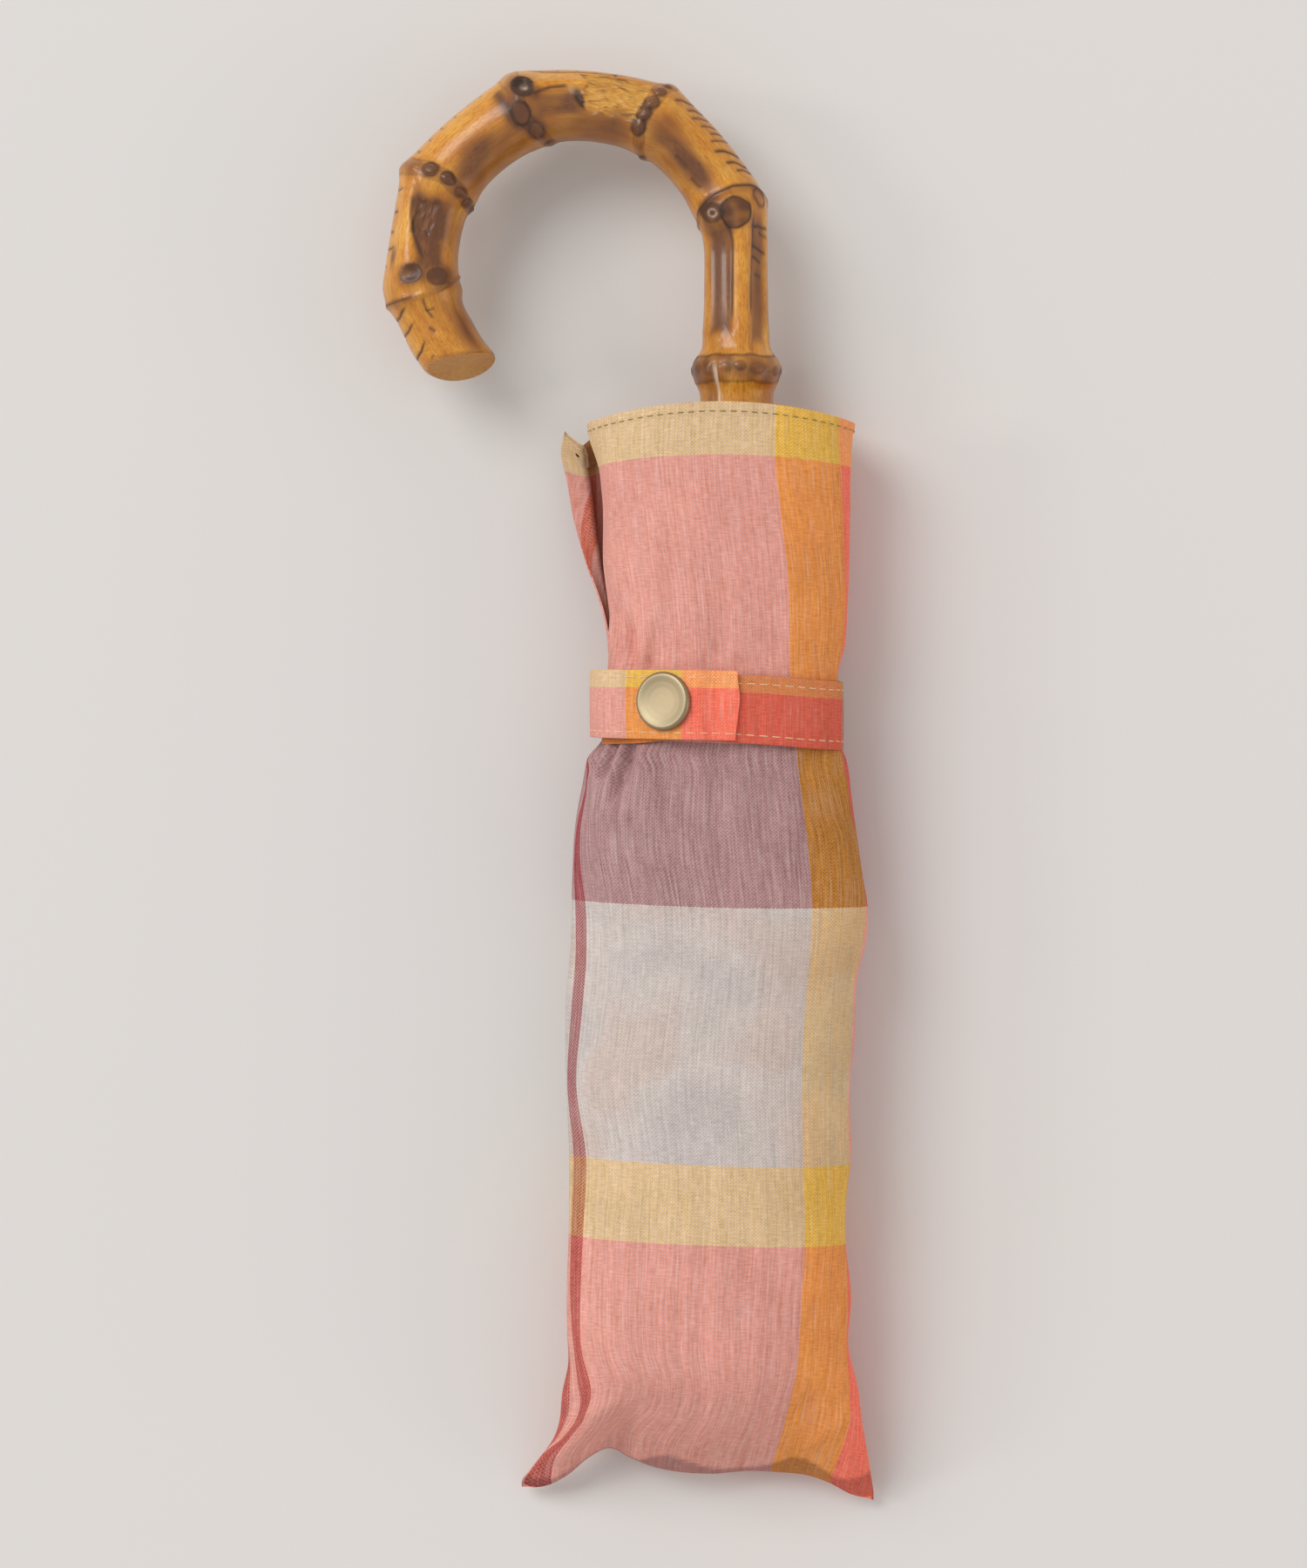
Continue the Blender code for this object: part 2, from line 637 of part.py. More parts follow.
def catch(name, y, base, top):
    dome = CATCH_RADIUS / 3
    profile = (
        (0.0, top - base),
        (CATCH_RADIUS - dome, top - base),
        (CATCH_RADIUS, top - base - dome),
        (CATCH_RADIUS, 0.0),
        (0.0, 0.0),
    )
    made = turned(name, profile, brass(name + "_brass"), steps=SMALL_STEPS)
    made.location = (0.0, y, SHAFT_HEIGHT + base)


def build_catches():
    catch("shaft_catch", SHAFT_CATCH_Y, LOWER_TUBE_RADIUS - SHAFT_CATCH_HEIGHT, LOWER_TUBE_RADIUS)
    proud = UPPER_TUBE_RADIUS + RUNNER_CATCH_PROUD
    catch("runner_catch", RUNNER_CATCH_Y, TUBE_BORE_RADIUS - TUBE_WALL, proud)


def build_collar():
    inner = LOWER_TUBE_RADIUS + CLEARANCE
    foot = HANDLE_FOOT_RADIUS
    cup = foot + CLEARANCE
    length = COLLAR_BASE + COLLAR_CUP
    profile = (
        (cup + COLLAR_WALL, length),
        (cup + COLLAR_WALL, COLLAR_WALL),
        (foot, 0.0),
        (inner, 0.0),
        (inner, COLLAR_BASE),
        (cup, COLLAR_BASE),
        (cup, length),
    )
    made = turned("handle_collar", profile, brass("collar_brass"), closed=True)
    lay_along_shaft(made, COLLAR_Y)


def slot_cutter(name, floor, start_y, end_y):
    """Six boxes outside the floor radius, one for each rib."""
    shape = bmesh.new()
    reach = 2 * NOTCH_RADIUS
    for index in range(RIB_COUNT):
        size = Matrix.Diagonal((2 * SLOT_HALF_WIDTH, end_y - start_y, reach, 1.0))
        turn = Matrix.Rotation(rib_angle(index), 4, "Y")
        lift = Matrix.Translation((0.0, (start_y + end_y) / 2, floor + reach / 2))
        place = Matrix.Translation((0.0, 0.0, SHAFT_HEIGHT)) @ turn @ lift @ size
        bmesh.ops.create_cube(shape, size=1.0, matrix=place)
    return make_cutter(name, mesh_from(shape, name))


def rib_angle(index):
    return math.radians(FIRST_RIB_ANGLE + 360 * index / RIB_COUNT)


def build_notch():
    half_groove = WIRE_GROOVE / 2
    middle = NOTCH_LENGTH / 2
    groove_floor = RIB_RADIUS - WIRE_RADIUS - CLEARANCE
    seat = UPPER_TUBE_RADIUS + CLEARANCE
    profile = (
        (NOTCH_RADIUS, NOTCH_LENGTH),
        (NOTCH_RADIUS, middle + half_groove),
        (groove_floor, middle + half_groove),
        (groove_floor, middle - half_groove),
        (NOTCH_RADIUS, middle - half_groove),
        (NOTCH_RADIUS, 0.0),
        (seat, 0.0),
        (seat, NOTCH_LENGTH),
    )
    made = turned("top_notch", profile, plastic("notch_nylon", (0.06, 0.06, 0.06)), closed=True)
    lay_along_shaft(made, NOTCH_Y)
    past = NOTCH_LENGTH / 2
    boolean(made, slot_cutter("notch_slots", NOTCH_FLOOR, NOTCH_Y - past, NOTCH_Y + NOTCH_LENGTH + past))
    build_wire()
    build_ferrule()


def build_wire():
    """A six-sided wire ring: a straight side goes through each rib's eye."""
    corner = RIB_RADIUS / math.cos(math.pi / RIB_COUNT)
    route = bpy.data.curves.new("wire_route", "CURVE")
    route.dimensions = "3D"
    route.bevel_depth = WIRE_RADIUS
    route.bevel_resolution = 1
    spline = route.splines.new("POLY")
    spline.points.add(RIB_COUNT - 1)
    for index, point in enumerate(spline.points):
        angle = rib_angle(index) + math.pi / RIB_COUNT
        point.co = (corner * math.sin(angle), 0.0, corner * math.cos(angle), 1.0)
    spline.use_cyclic_u = True
    swept = bpy.data.objects.new("wire_route", route)
    CUTTERS.objects.link(swept)
    mesh = baked_mesh(swept, "notch_wire")
    bpy.data.objects.remove(swept, do_unlink=True)
    smooth(mesh)
    made = add_part("notch_wire", mesh, steel("wire_steel"))
    made.location = (0.0, HINGE_Y, SHAFT_HEIGHT)


def build_ferrule():
    shoulder = FERRULE_LENGTH / 3
    top = FERRULE_LENGTH - CLEARANCE
    profile = (
        (0.0, top),
        (NOTCH_RADIUS, top),
        (NOTCH_RADIUS, top - shoulder / 3),
        (FERRULE_RADIUS, top - shoulder),
        (FERRULE_RADIUS, shoulder / 2),
        (FERRULE_RADIUS / 2, 0.0),
        (0.0, 0.0),
    )
    made = turned("ferrule_tip", profile, brass("ferrule_brass"))
    lay_along_shaft(made, FERRULE_END_Y)


def build_runner():
    inner = UPPER_TUBE_RADIUS + CLEARANCE
    sleeve = inner + RUNNER_WALL
    crown = 2 * RUNNER_CROWN
    length = RUNNER_CROWN + RUNNER_TAIL
    profile = (
        (sleeve, length),
        (sleeve, crown),
        (RUNNER_RADIUS, crown),
        (RUNNER_RADIUS, 0.0),
        (inner, 0.0),
        (inner, length),
    )
    made = turned("runner", profile, plastic("runner_nylon", (0.05, 0.05, 0.05)), closed=True)
    start_y = RUNNER_Y - RUNNER_CROWN
    lay_along_shaft(made, start_y)
    past = RUNNER_CROWN
    boolean(made, slot_cutter("runner_slots", sleeve, start_y - past, start_y + crown + past))


def joined(name, pieces, holes):
    """One mesh made of overlapping pieces, with holes cut through it."""
    base = bpy.data.objects.new(name, pieces[0])
    CUTTERS.objects.link(base)
    helpers = [make_cutter(mesh.name, mesh) for mesh in pieces[1:]]
    cuts = [make_cutter(mesh.name, mesh) for mesh in holes]
    for helper in helpers:
        boolean(base, helper, "UNION")
    for cut in cuts:
        boolean(base, cut)
    mesh = baked_mesh(base, name)
    for used in (base, *helpers, *cuts):
        bpy.data.objects.remove(used, do_unlink=True)
    smooth(mesh)
    return mesh


def bar_mesh(name, side, start, end):
    """A straight member beside the rib's plane, along the shaft, with softened edges."""
    centre = side * MEMBER_OFFSET
    half = BAR_WIDTH / 2
    low = (centre - half, start, -MEMBER_HEIGHT / 2)
    high = (centre + half, end, MEMBER_HEIGHT / 2)
    mesh = box_mesh(name, low, high)
    shape = bmesh.new()
    shape.from_mesh(mesh)
    bmesh.ops.bevel(shape, geom=shape.edges[:], offset=MEMBER_BEVEL, segments=1, affect="EDGES")
    shape.to_mesh(mesh)
    shape.free()
    return mesh


def flute_mesh(name, side, start, end):
    """The open channel on the inner side of a member."""
    centre = side * MEMBER_OFFSET
    low = (centre - FLUTE_WIDTH / 2, start, -MEMBER_HEIGHT)
    high = (centre + FLUTE_WIDTH / 2, end, FLUTE_DEPTH - MEMBER_HEIGHT / 2)
    return box_mesh(name, low, high)


def cross_rod(name, side, reach, y, z, radius):
    """A disc across the rib's plane, from a member's outer face to a reach from that plane."""
    outer = side * (MEMBER_OFFSET + MEMBER_WIDTH / 2)
    return rod_mesh(name, (outer, y, z), (side * reach, y, z), radius)


def inner_rib_mesh():
    inner_face = MEMBER_OFFSET - MEMBER_WIDTH / 2
    lug_height = OUTER_RIB_LIFT / 2
    bar = bar_mesh("rib_bar", 1, 0.0, INNER_RIB_LENGTH)
    eye = cross_rod("rib_eye", 1, inner_face, 0.0, 0.0, HINGE_EYE_RADIUS)
    lug = cross_rod("rib_lug", 1, inner_face, INNER_RIB_LENGTH, lug_height, LUG_RADIUS)
    hole = rod_mesh("rib_hole", (-MEMBER_WIDTH, 0, 0), (2 * MEMBER_WIDTH, 0, 0), HINGE_HOLE_RADIUS)
    room = 3 * LUG_RADIUS
    flute = flute_mesh("rib_flute", 1, room, INNER_RIB_LENGTH - room)
    return joined("inner_rib", (bar, eye, lug), (hole, flute))


def stretcher_mesh():
    bar = bar_mesh("stretcher_bar", -1, 0.0, STRETCHER_LENGTH)
    near_eye = cross_rod("stretcher_pivot", -1, 0.0, 0.0, 0.0, EYE_RADIUS)
    far_eye = cross_rod("stretcher_foot", -1, 0.0, STRETCHER_LENGTH, 0.0, EYE_RADIUS)
    room = 3 * EYE_RADIUS
    flute = flute_mesh("stretcher_flute", -1, room, STRETCHER_LENGTH - room)
    return joined("stretcher", (bar, near_eye, far_eye), (flute,))


def outer_rib_mesh():
    """About the joint with the inner rib: a round wire with a flat lug."""
    height = OUTER_RIB_LIFT / 2
    wire = rod_mesh(
        "outer_wire",
        (-MEMBER_OFFSET, 0.0, height),
        (-MEMBER_OFFSET, -OUTER_RIB_LENGTH, height),
        OUTER_WIRE_RADIUS,
    )
    lug = cross_rod("outer_lug", -1, 0.0, 0.0, 0.0, LUG_RADIUS)
    return joined("outer_rib", (wire, lug), ())


def bundle_reach(angle):
    """Distance from the shaft axis to the outside of the folded canopy."""
    half_width = (BUNDLE_RIGHT - BUNDLE_LEFT) / 2
    middle = (BUNDLE_RIGHT + BUNDLE_LEFT) / 2
    low = 0.0
    high = 2 * half_width
    for _ in range(40):
        reach = (low + high) / 2
        across = abs(reach * math.sin(angle) - middle) / half_width
        up = abs(reach * math.cos(angle)) / BUNDLE_HALF_HEIGHT
        inside = across ** BUNDLE_SQUARENESS + up ** BUNDLE_SQUARENESS < 1
        low, high = (reach, high) if inside else (low, reach)
    return low


def fold_outline(index):
    """Section of the cloth that is folded over one rib: x across the rib, z away from the shaft."""
    side = SLOT_HALF_WIDTH + FOLD_SIDE_GAP
    top = STACK_TOP + FOLD_SIDE_GAP
    half_sector = math.pi / RIB_COUNT
    inner_x = FOLD_INNER * math.tan(half_sector) - FOLD_SECTOR_GAP
    outline = [(-side, top), (-side, FOLD_INNER), (-inner_x, FOLD_INNER)]
    for step in range(FOLD_OUTER_POINTS):
        share = 2 * step / (FOLD_OUTER_POINTS - 1) - 1
        reach = bundle_reach(rib_angle(index) + share * half_sector)
        edge_gap = share * FOLD_SECTOR_GAP
        x = reach * math.sin(share * half_sector) - edge_gap
        outline.append((x, reach * math.cos(share * half_sector)))
    outline += [(inner_x, FOLD_INNER), (side, FOLD_INNER), (side, top)]
    return outline


def fold_mesh(index):
    start = NOTCH_LENGTH / 2 + FOLD_START
    end = 2 * STRETCHER_LENGTH - RUNNER_CROWN - FOLD_END
    rings = []
    for y in (start, end):
        rings.append([(x, y, z - RIB_RADIUS) for x, z in fold_outline(index)])
    return loft("canopy_fold", rings)


def build_rib_tip(name):
    """A bead that closes the end of an outer rib."""
    waist = RIB_TIP_RADIUS * 0.7
    profile = (
        (0.0, RIB_TIP_LENGTH),
        (waist, RIB_TIP_LENGTH),
        (waist, RIB_TIP_LENGTH / 2),
        (RIB_TIP_RADIUS, RIB_TIP_LENGTH / 4),
        (waist, 0.0),
        (0.0, 0.0),
    )
    return turned(name, profile, plastic(name + "_nylon", (0.80, 0.78, 0.72)), steps=SMALL_STEPS)


def add_hinge(name, place, turn):
    made = bpy.data.objects.new(name, None)
    PARTS.objects.link(made)
    made.empty_display_size = EYE_RADIUS
    made.location = place
    made.rotation_euler = (0.0, turn, 0.0)
    return made


def hang(made, hinge):
    made.parent = hinge
    return made


def build_ribs():
    inner_master = inner_rib_mesh()
    stretcher_master = stretcher_mesh()
    outer_master = outer_rib_mesh()
    joint_height = OUTER_RIB_LIFT / 2
    for index in range(RIB_COUNT):
        number = index + 1
        angle = rib_angle(index)
        radial = Vector((math.sin(angle), 0.0, math.cos(angle)))
        axis_point = Vector((0.0, HINGE_Y, SHAFT_HEIGHT))
        root = axis_point + radial * RIB_RADIUS
        along = Vector((0.0, 1.0, 0.0))
        hinge = add_hinge(f"rib_hinge_{number}", root, angle)
        pivot = add_hinge(f"stretcher_hinge_{number}", root + along * STRETCHER_LENGTH, angle)
        elbow_place = root + along * INNER_RIB_LENGTH + radial * joint_height
        elbow = add_hinge(f"outer_rib_hinge_{number}", elbow_place, angle)
        rib_steel = steel(f"inner_rib_steel_{number}")
        hang(add_part(f"inner_rib_{number}", inner_master.copy(), rib_steel), hinge)
        fold_cotton = cotton(f"canopy_cotton_{number}", (0.74, 0.42, 0.34))
        hang(add_part(f"canopy_fold_{number}", fold_mesh(index), fold_cotton), hinge)
        arm_steel = steel(f"stretcher_steel_{number}")
        hang(add_part(f"stretcher_{number}", stretcher_master.copy(), arm_steel), pivot)
        wire_steel = steel(f"outer_rib_steel_{number}")
        hang(add_part(f"outer_rib_{number}", outer_master.copy(), wire_steel), elbow)
        tip = hang(build_rib_tip(f"rib_tip_{number}"), elbow)
        tip.rotation_euler = (-math.pi / 2, 0.0, 0.0)
        tip.location = (-MEMBER_OFFSET, -OUTER_RIB_LENGTH - RIB_TIP_LENGTH - CLEARANCE, joint_height)


build_handle()
build_shaft()
build_notch()
build_runner()
build_ribs()
build_sleeve()
build_strap()
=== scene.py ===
import math

import bpy
import numpy as np
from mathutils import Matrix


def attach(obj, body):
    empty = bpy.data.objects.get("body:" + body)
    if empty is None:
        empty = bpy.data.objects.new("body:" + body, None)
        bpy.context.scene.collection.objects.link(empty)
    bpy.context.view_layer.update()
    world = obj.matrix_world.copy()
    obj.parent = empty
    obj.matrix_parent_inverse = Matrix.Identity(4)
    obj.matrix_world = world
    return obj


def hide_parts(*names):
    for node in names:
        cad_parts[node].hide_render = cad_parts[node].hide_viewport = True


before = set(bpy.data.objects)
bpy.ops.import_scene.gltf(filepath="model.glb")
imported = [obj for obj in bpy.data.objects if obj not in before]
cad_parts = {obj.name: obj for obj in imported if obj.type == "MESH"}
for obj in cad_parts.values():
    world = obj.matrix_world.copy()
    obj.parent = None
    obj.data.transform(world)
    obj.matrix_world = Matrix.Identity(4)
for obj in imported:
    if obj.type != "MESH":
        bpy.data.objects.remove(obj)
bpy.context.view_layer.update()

print("frame loaded,", len(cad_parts), "CAD nodes")
mm = 0.001


# small tools used by every piece

def linear(code):
    parts = [int(code[at:at + 2], 16) / 255 for at in (1, 3, 5)]
    light = [part / 12.92 if part <= 0.04045 else ((part + 0.055) / 1.055) ** 2.4 for part in parts]
    return (*light, 1.0)


def fill(tree, node, settings):
    # a setting is a value, or the node or socket that feeds it
    for key, value in settings.items():
        if isinstance(value, bpy.types.Node):
            value = next(output for output in value.outputs if output.enabled)
        if isinstance(value, bpy.types.NodeSocket):
            tree.links.new(value, node.inputs[key])
        elif key == "stops":
            ramp = node.color_ramp
            ramp.elements.remove(ramp.elements[1])
            ramp.elements[0].position = value[0][0]
            ramp.elements[0].color = linear(value[0][1])
            for place, code in value[1:]:
                ramp.elements.new(place).color = linear(code)
        elif key == "steps":
            node.color_ramp.interpolation = value
        elif isinstance(key, int) or key in node.inputs:
            node.inputs[key].default_value = value
        else:
            setattr(node, key, value)
    return node


def addNode(tree, kind, settings):
    return fill(tree, tree.nodes.new("ShaderNode" + kind), settings)


def startMaterial(name):
    made = bpy.data.materials.new(name)
    made.use_nodes = True
    return made, made.node_tree, made.node_tree.nodes["Principled BSDF"]


def track(points):
    # a smooth line through measured points, read at any place
    places = np.array([point[0] for point in points], dtype=float)
    values = np.array([point[1] for point in points], dtype=float)
    slopes = np.gradient(values, places)

    def at(spot):
        spot = np.clip(np.asarray(spot, dtype=float), places[0], places[-1])
        low = np.clip(np.searchsorted(places, spot) - 1, 0, len(places) - 2)
        span = places[low + 1] - places[low]
        t = (spot - places[low]) / span
        start = (1 + 2 * t) * (1 - t) ** 2 * values[low] + t * (1 - t) ** 2 * span * slopes[low]
        end = t ** 2 * (3 - 2 * t) * values[low + 1] + t ** 2 * (t - 1) * span * slopes[low + 1]
        return start + end

    return at


def ease(low, high, value):
    t = np.clip((value - low) / (high - low), 0.0, 1.0)
    return t * t * (3 - 2 * t)


def ripple(x, y, seed):
    # soft uneven waves from -1 to 1, the same on every run
    total = 0.0
    for step in range(5):
        turn = seed * 1.7 + step * 2.399
        pace = 1.0 + 0.37 * step
        total = total + np.sin(pace * (x * math.cos(turn) + y * math.sin(turn)) + seed * 5.1 + step * 1.3)
    return total / 3.2


def besideLine(x, y, startX, startY, endX, endY):
    # distance from a line between two points
    runX, runY = endX - startX, endY - startY
    share = np.clip(((x - startX) * runX + (y - startY) * runY) / (runX ** 2 + runY ** 2), 0, 1)
    return np.hypot(x - startX - share * runX, y - startY - share * runY), share


def nothingSelected():
    if bpy.context.object and bpy.context.object.mode != "OBJECT":
        bpy.ops.object.mode_set(mode="OBJECT")
    bpy.ops.object.select_all(action="DESELECT")


def onlySelected(piece):
    nothingSelected()
    piece.select_set(True)
    bpy.context.view_layer.objects.active = piece


def arcAcross(x, z):
    # length along each row of a grid, from its first column
    arc = np.zeros_like(x)
    arc[:, 1:] = np.cumsum(np.hypot(np.diff(x, axis=1), np.diff(z, axis=1)), axis=1)
    return arc


def bendGrid(name, columns, rows, place, mapName):
    # a flat grid primitive, bent into its place; place gives points in mm and the map's own mm
    nothingSelected()
    bpy.ops.mesh.primitive_grid_add(x_subdivisions=columns, y_subdivisions=rows, size=1.0, calc_uvs=True)
    piece = bpy.context.object
    piece.name = name
    mesh = piece.data
    mesh.name = name
    spots = np.empty(len(mesh.vertices) * 3)
    mesh.vertices.foreach_get("co", spots)
    shape = (rows + 1, columns + 1)
    across = (spots[0::3] + 0.5).reshape(shape)
    along = (spots[1::3] + 0.5).reshape(shape)
    points, flat = place(across, along)
    mesh.vertices.foreach_set("co", (points * mm).reshape(-1))
    index = np.empty(len(mesh.loops), dtype=int)
    mesh.loops.foreach_get("vertex_index", index)
    mesh.uv_layers.active.name = mapName
    mesh.uv_layers.active.data.foreach_set("uv", flat.reshape(-1, 2)[index].reshape(-1))
    mesh.update()
    return piece


def mergeSeam(piece, distance=0.02):
    onlySelected(piece)
    bpy.ops.object.mode_set(mode="EDIT")
    bpy.ops.mesh.select_all(action="SELECT")
    bpy.ops.mesh.remove_doubles(threshold=distance * mm)
    bpy.ops.object.mode_set(mode="OBJECT")


def applied(piece, kind, **settings):
    onlySelected(piece)
    modifier = piece.modifiers.new(kind.lower(), kind)
    for key, value in settings.items():
        setattr(modifier, key, value)
    bpy.ops.object.modifier_apply(modifier=modifier.name)


def smoothed(piece, angle=60):
    onlySelected(piece)
    bpy.ops.object.shade_smooth_by_angle(angle=math.radians(angle))


def dressed(piece, material, body, slot, *nodes):
    piece.data.materials.clear()
    piece.data.materials.append(material)
    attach(piece, body)
    if nodes:
        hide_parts(*nodes)
    return piece


def paint(piece, name, values):
    layer = piece.data.attributes.new(name, "FLOAT", "POINT")
    layer.data.foreach_set("value", np.ascontiguousarray(values, dtype=np.float32).reshape(-1))


# checked cotton: plain weave of dyed yarn, so each check is the mean of its warp and its weft
checkedCotton = {
    "pitch": 0.45,            # mm between threads
    "warpStart": -10.0,       # mm across the cloth, from the left edge of the front
    "warpEnd": 230.0,
    "warp": (
        (-10.0, "#BAA1A6"), (-3.0, "#983C4A"), (-0.2, "#BAA1A6"), (2.0, "#983C4A"), (5.4, "#BAA1A6"),
        (60.0, "#D4961C"), (76.0, "#F9585A"), (126.0, "#BAA1A6"), (168.0, "#983C4A"), (171.4, "#BAA1A6"),
        (214.0, "#D4961C"),
    ),
    "weftSpan": 290.0,        # mm along the cloth, from the hem at the mouth
    "weft": (
        (0.0, "#F1CB6C"), (12.5, "#F78F67"), (86.9, "#955548"), (128.3, "#D8D9C9"),
        (194.4, "#F1CB6C"), (214.5, "#F78F67"), (281.0, "#F78F67"),
    ),
    "redStripes": ((-3.0, -0.2), (2.0, 5.4)),
    "frontStripes": (2.0, 5.4, 60.0, 76.0),        # both edges of the red one, then of the yellow one
    "thinWeft": (128.3, 194.4),
    # patterns: grain across and along the cloth in mm, detail, roughness
    "patterns": {
        "warpThread": (0.5, 14.0, 1.0, 0.5), "weftThread": (2.6, 0.42, 1.0, 0.5),
        "longThread": (0.6, 160.0, 0.0, 0.5), "warpDash": (0.4, 3.2, 0.0, 0.5), "weftDash": (2.0, 0.36, 0.0, 0.5),
        "slub": (0.34, 12.0, 0.0, 0.5), "dye": (17.0, 17.0, 3.0, 0.55), "cloud": (24.0, 30.0, 1.0, 0.4),
    },
    # how much lighter and darker each pattern makes the yarn: its range, then the light
    "lights": (
        ("weftThread", 0.25, 0.75, 0.91, 1.09), ("warpThread", 0.25, 0.75, 0.89, 1.11),
        ("dye", 0.3, 0.7, 0.94, 1.06), ("longThread", 0.25, 0.75, 0.93, 1.07),
    ),
    # layers below the thin white check, peach then grey: range of the clouds, strength, colour
    "clouds": ((0.51, 0.60, 0.26, "#FFDFC6"), (0.49, 0.40, 0.19, "#C9CEDA")),
}


def makeCotton(name):
    look = checkedCotton
    made, tree, shader = startMaterial(name)
    cloth = addNode(tree, "UVMap", {"uv_map": "cloth"})
    spot = addNode(tree, "SeparateXYZ", {"Vector": cloth})
    u = spot.outputs["X"]
    v = spot.outputs["Y"]
    # the yarns, by their place across and along the cloth
    width = look["warpEnd"] - look["warpStart"]
    warpPlace = addNode(tree, "MapRange", {"From Min": look["warpStart"], "From Max": look["warpEnd"], "Value": u})
    warpStops = [((place - look["warpStart"]) / width, code) for place, code in look["warp"]]
    warp = addNode(tree, "ValToRGB", {"stops": warpStops, "steps": "CONSTANT", "Fac": warpPlace})
    weftPlace = addNode(tree, "Math", {"operation": "MULTIPLY", 0: v, 1: 1 / look["weftSpan"]})
    weftStops = [(place / look["weftSpan"], code) for place, code in look["weft"]]
    weft = addNode(tree, "ValToRGB", {"stops": weftStops, "steps": "CONSTANT", "Fac": weftPlace})
    # over and under
    turn = math.pi / look["pitch"]
    warpTurn = addNode(tree, "Math", {"operation": "MULTIPLY", 0: u, 1: turn})
    weftTurn = addNode(tree, "Math", {"operation": "MULTIPLY", 0: v, 1: turn})
    warpWave = addNode(tree, "Math", {"operation": "SINE", 0: warpTurn})
    weftWave = addNode(tree, "Math", {"operation": "SINE", 0: weftTurn})
    weave = addNode(tree, "Math", {"operation": "MULTIPLY", 0: warpWave, 1: weftWave})
    # threads about 0.5 mm thick: along the cloth they show further than across it
    pattern = {}
    for part, (across, along, detail, roughness) in look["patterns"].items():
        grain = addNode(tree, "VectorMath", {"operation": "MULTIPLY", 0: cloth, 1: (1 / across, 1 / along, 0.0)})
        pattern[part] = addNode(tree, "TexNoise", {"Scale": 1.0, "Detail": detail, "Roughness": roughness,
                                                   "Vector": grain})
    # the selvage's red stripe is woven closer, so its warp hides more of the weft
    closeStops = [(0.0, "#000000")]
    for low, high in look["redStripes"]:
        closeStops.append(((low - look["warpStart"]) / width, "#FFFFFF"))
        closeStops.append(((high - look["warpStart"]) / width, "#000000"))
    close = addNode(tree, "ValToRGB", {"stops": closeStops, "steps": "CONSTANT", "Fac": warpPlace})
    closeShare = addNode(tree, "Math", {"operation": "MULTIPLY_ADD", 0: close, 1: 0.24, 2: 0.5})
    # the white weft is thin, so more of the warp shows in it
    low, high = (place / look["weftSpan"] for place in look["thinWeft"])
    thinStops = [(0.0, "#000000"), (low, "#FFFFFF"), (high, "#000000")]
    thin = addNode(tree, "ValToRGB", {"stops": thinStops, "steps": "CONSTANT", "Fac": weftPlace})
    thinShare = addNode(tree, "Math", {"operation": "MULTIPLY_ADD", 0: thin, 1: 0.06, 2: closeShare})
    threadShare = addNode(tree, "MapRange", {"From Min": 0.25, "From Max": 0.75, "To Min": -0.09, "To Max": 0.09,
                                             "Value": pattern["warpThread"]})
    overUnder = addNode(tree, "Math", {"operation": "MULTIPLY_ADD", 0: weave, 1: 0.26, 2: threadShare})
    warpOver = addNode(tree, "Math", {"operation": "ADD", "use_clamp": True, 0: overUnder, 1: thinShare})
    shown = addNode(tree, "Mix", {"data_type": "RGBA", 0: warpOver, 6: weft, 7: warp})
    # thread crossings: short lighter and darker dashes both ways, fainter in the thin white check
    bothWays = addNode(tree, "Math", {"operation": "ADD", 0: pattern["warpDash"], 1: pattern["weftDash"]})
    dashLean = addNode(tree, "Math", {"operation": "SUBTRACT", 0: bothWays, 1: 1.0})
    dashReach = addNode(tree, "MapRange", {"To Min": 0.2, "To Max": 0.15, "Value": thin})
    dash = addNode(tree, "Math", {"operation": "MULTIPLY", 0: dashLean, 1: dashReach})
    dashPale = addNode(tree, "VectorMath", {"operation": "SCALE", 0: (0.22, 0.22, 0.22), "Scale": dash})
    # single threads are lighter or darker, some for their whole length, and the dye is a little uneven
    light = addNode(tree, "Math", {"operation": "ADD", 0: dash, 1: 1.0})
    for part, low, high, darkest, lightest in look["lights"]:
        share = addNode(tree, "MapRange", {"From Min": low, "From Max": high, "To Min": darkest, "To Max": lightest,
                                           "Value": pattern[part]})
        light = addNode(tree, "Math", {"operation": "MULTIPLY", 0: light, 1: share})
    shown = addNode(tree, "VectorMath", {"operation": "SCALE", 0: shown, "Scale": light})
    shown = addNode(tree, "VectorMath", {"operation": "ADD", 0: shown, 1: dashPale})
    # slubs: now and then a thicker pale thread
    slub = addNode(tree, "MapRange", {"From Min": 0.52, "From Max": 0.74, "To Max": 0.12, "Value": pattern["slub"]})
    shown = addNode(tree, "Mix", {"data_type": "RGBA", 0: slub, 6: shown, 7: linear("#F6EAE0")})
    # the thin white check also lets the layers below show, as faint peach and grey clouds
    for low, high, most, code in look["clouds"]:
        share = addNode(tree, "MapRange", {"From Min": low, "From Max": high, "To Max": most,
                                           "Value": pattern["cloud"]})
        factor = addNode(tree, "Math", {"operation": "MULTIPLY", 0: share, 1: thin})
        shown = addNode(tree, "Mix", {"data_type": "RGBA", "blend_type": "MULTIPLY", 0: factor, 6: shown,
                                      7: linear(code)})
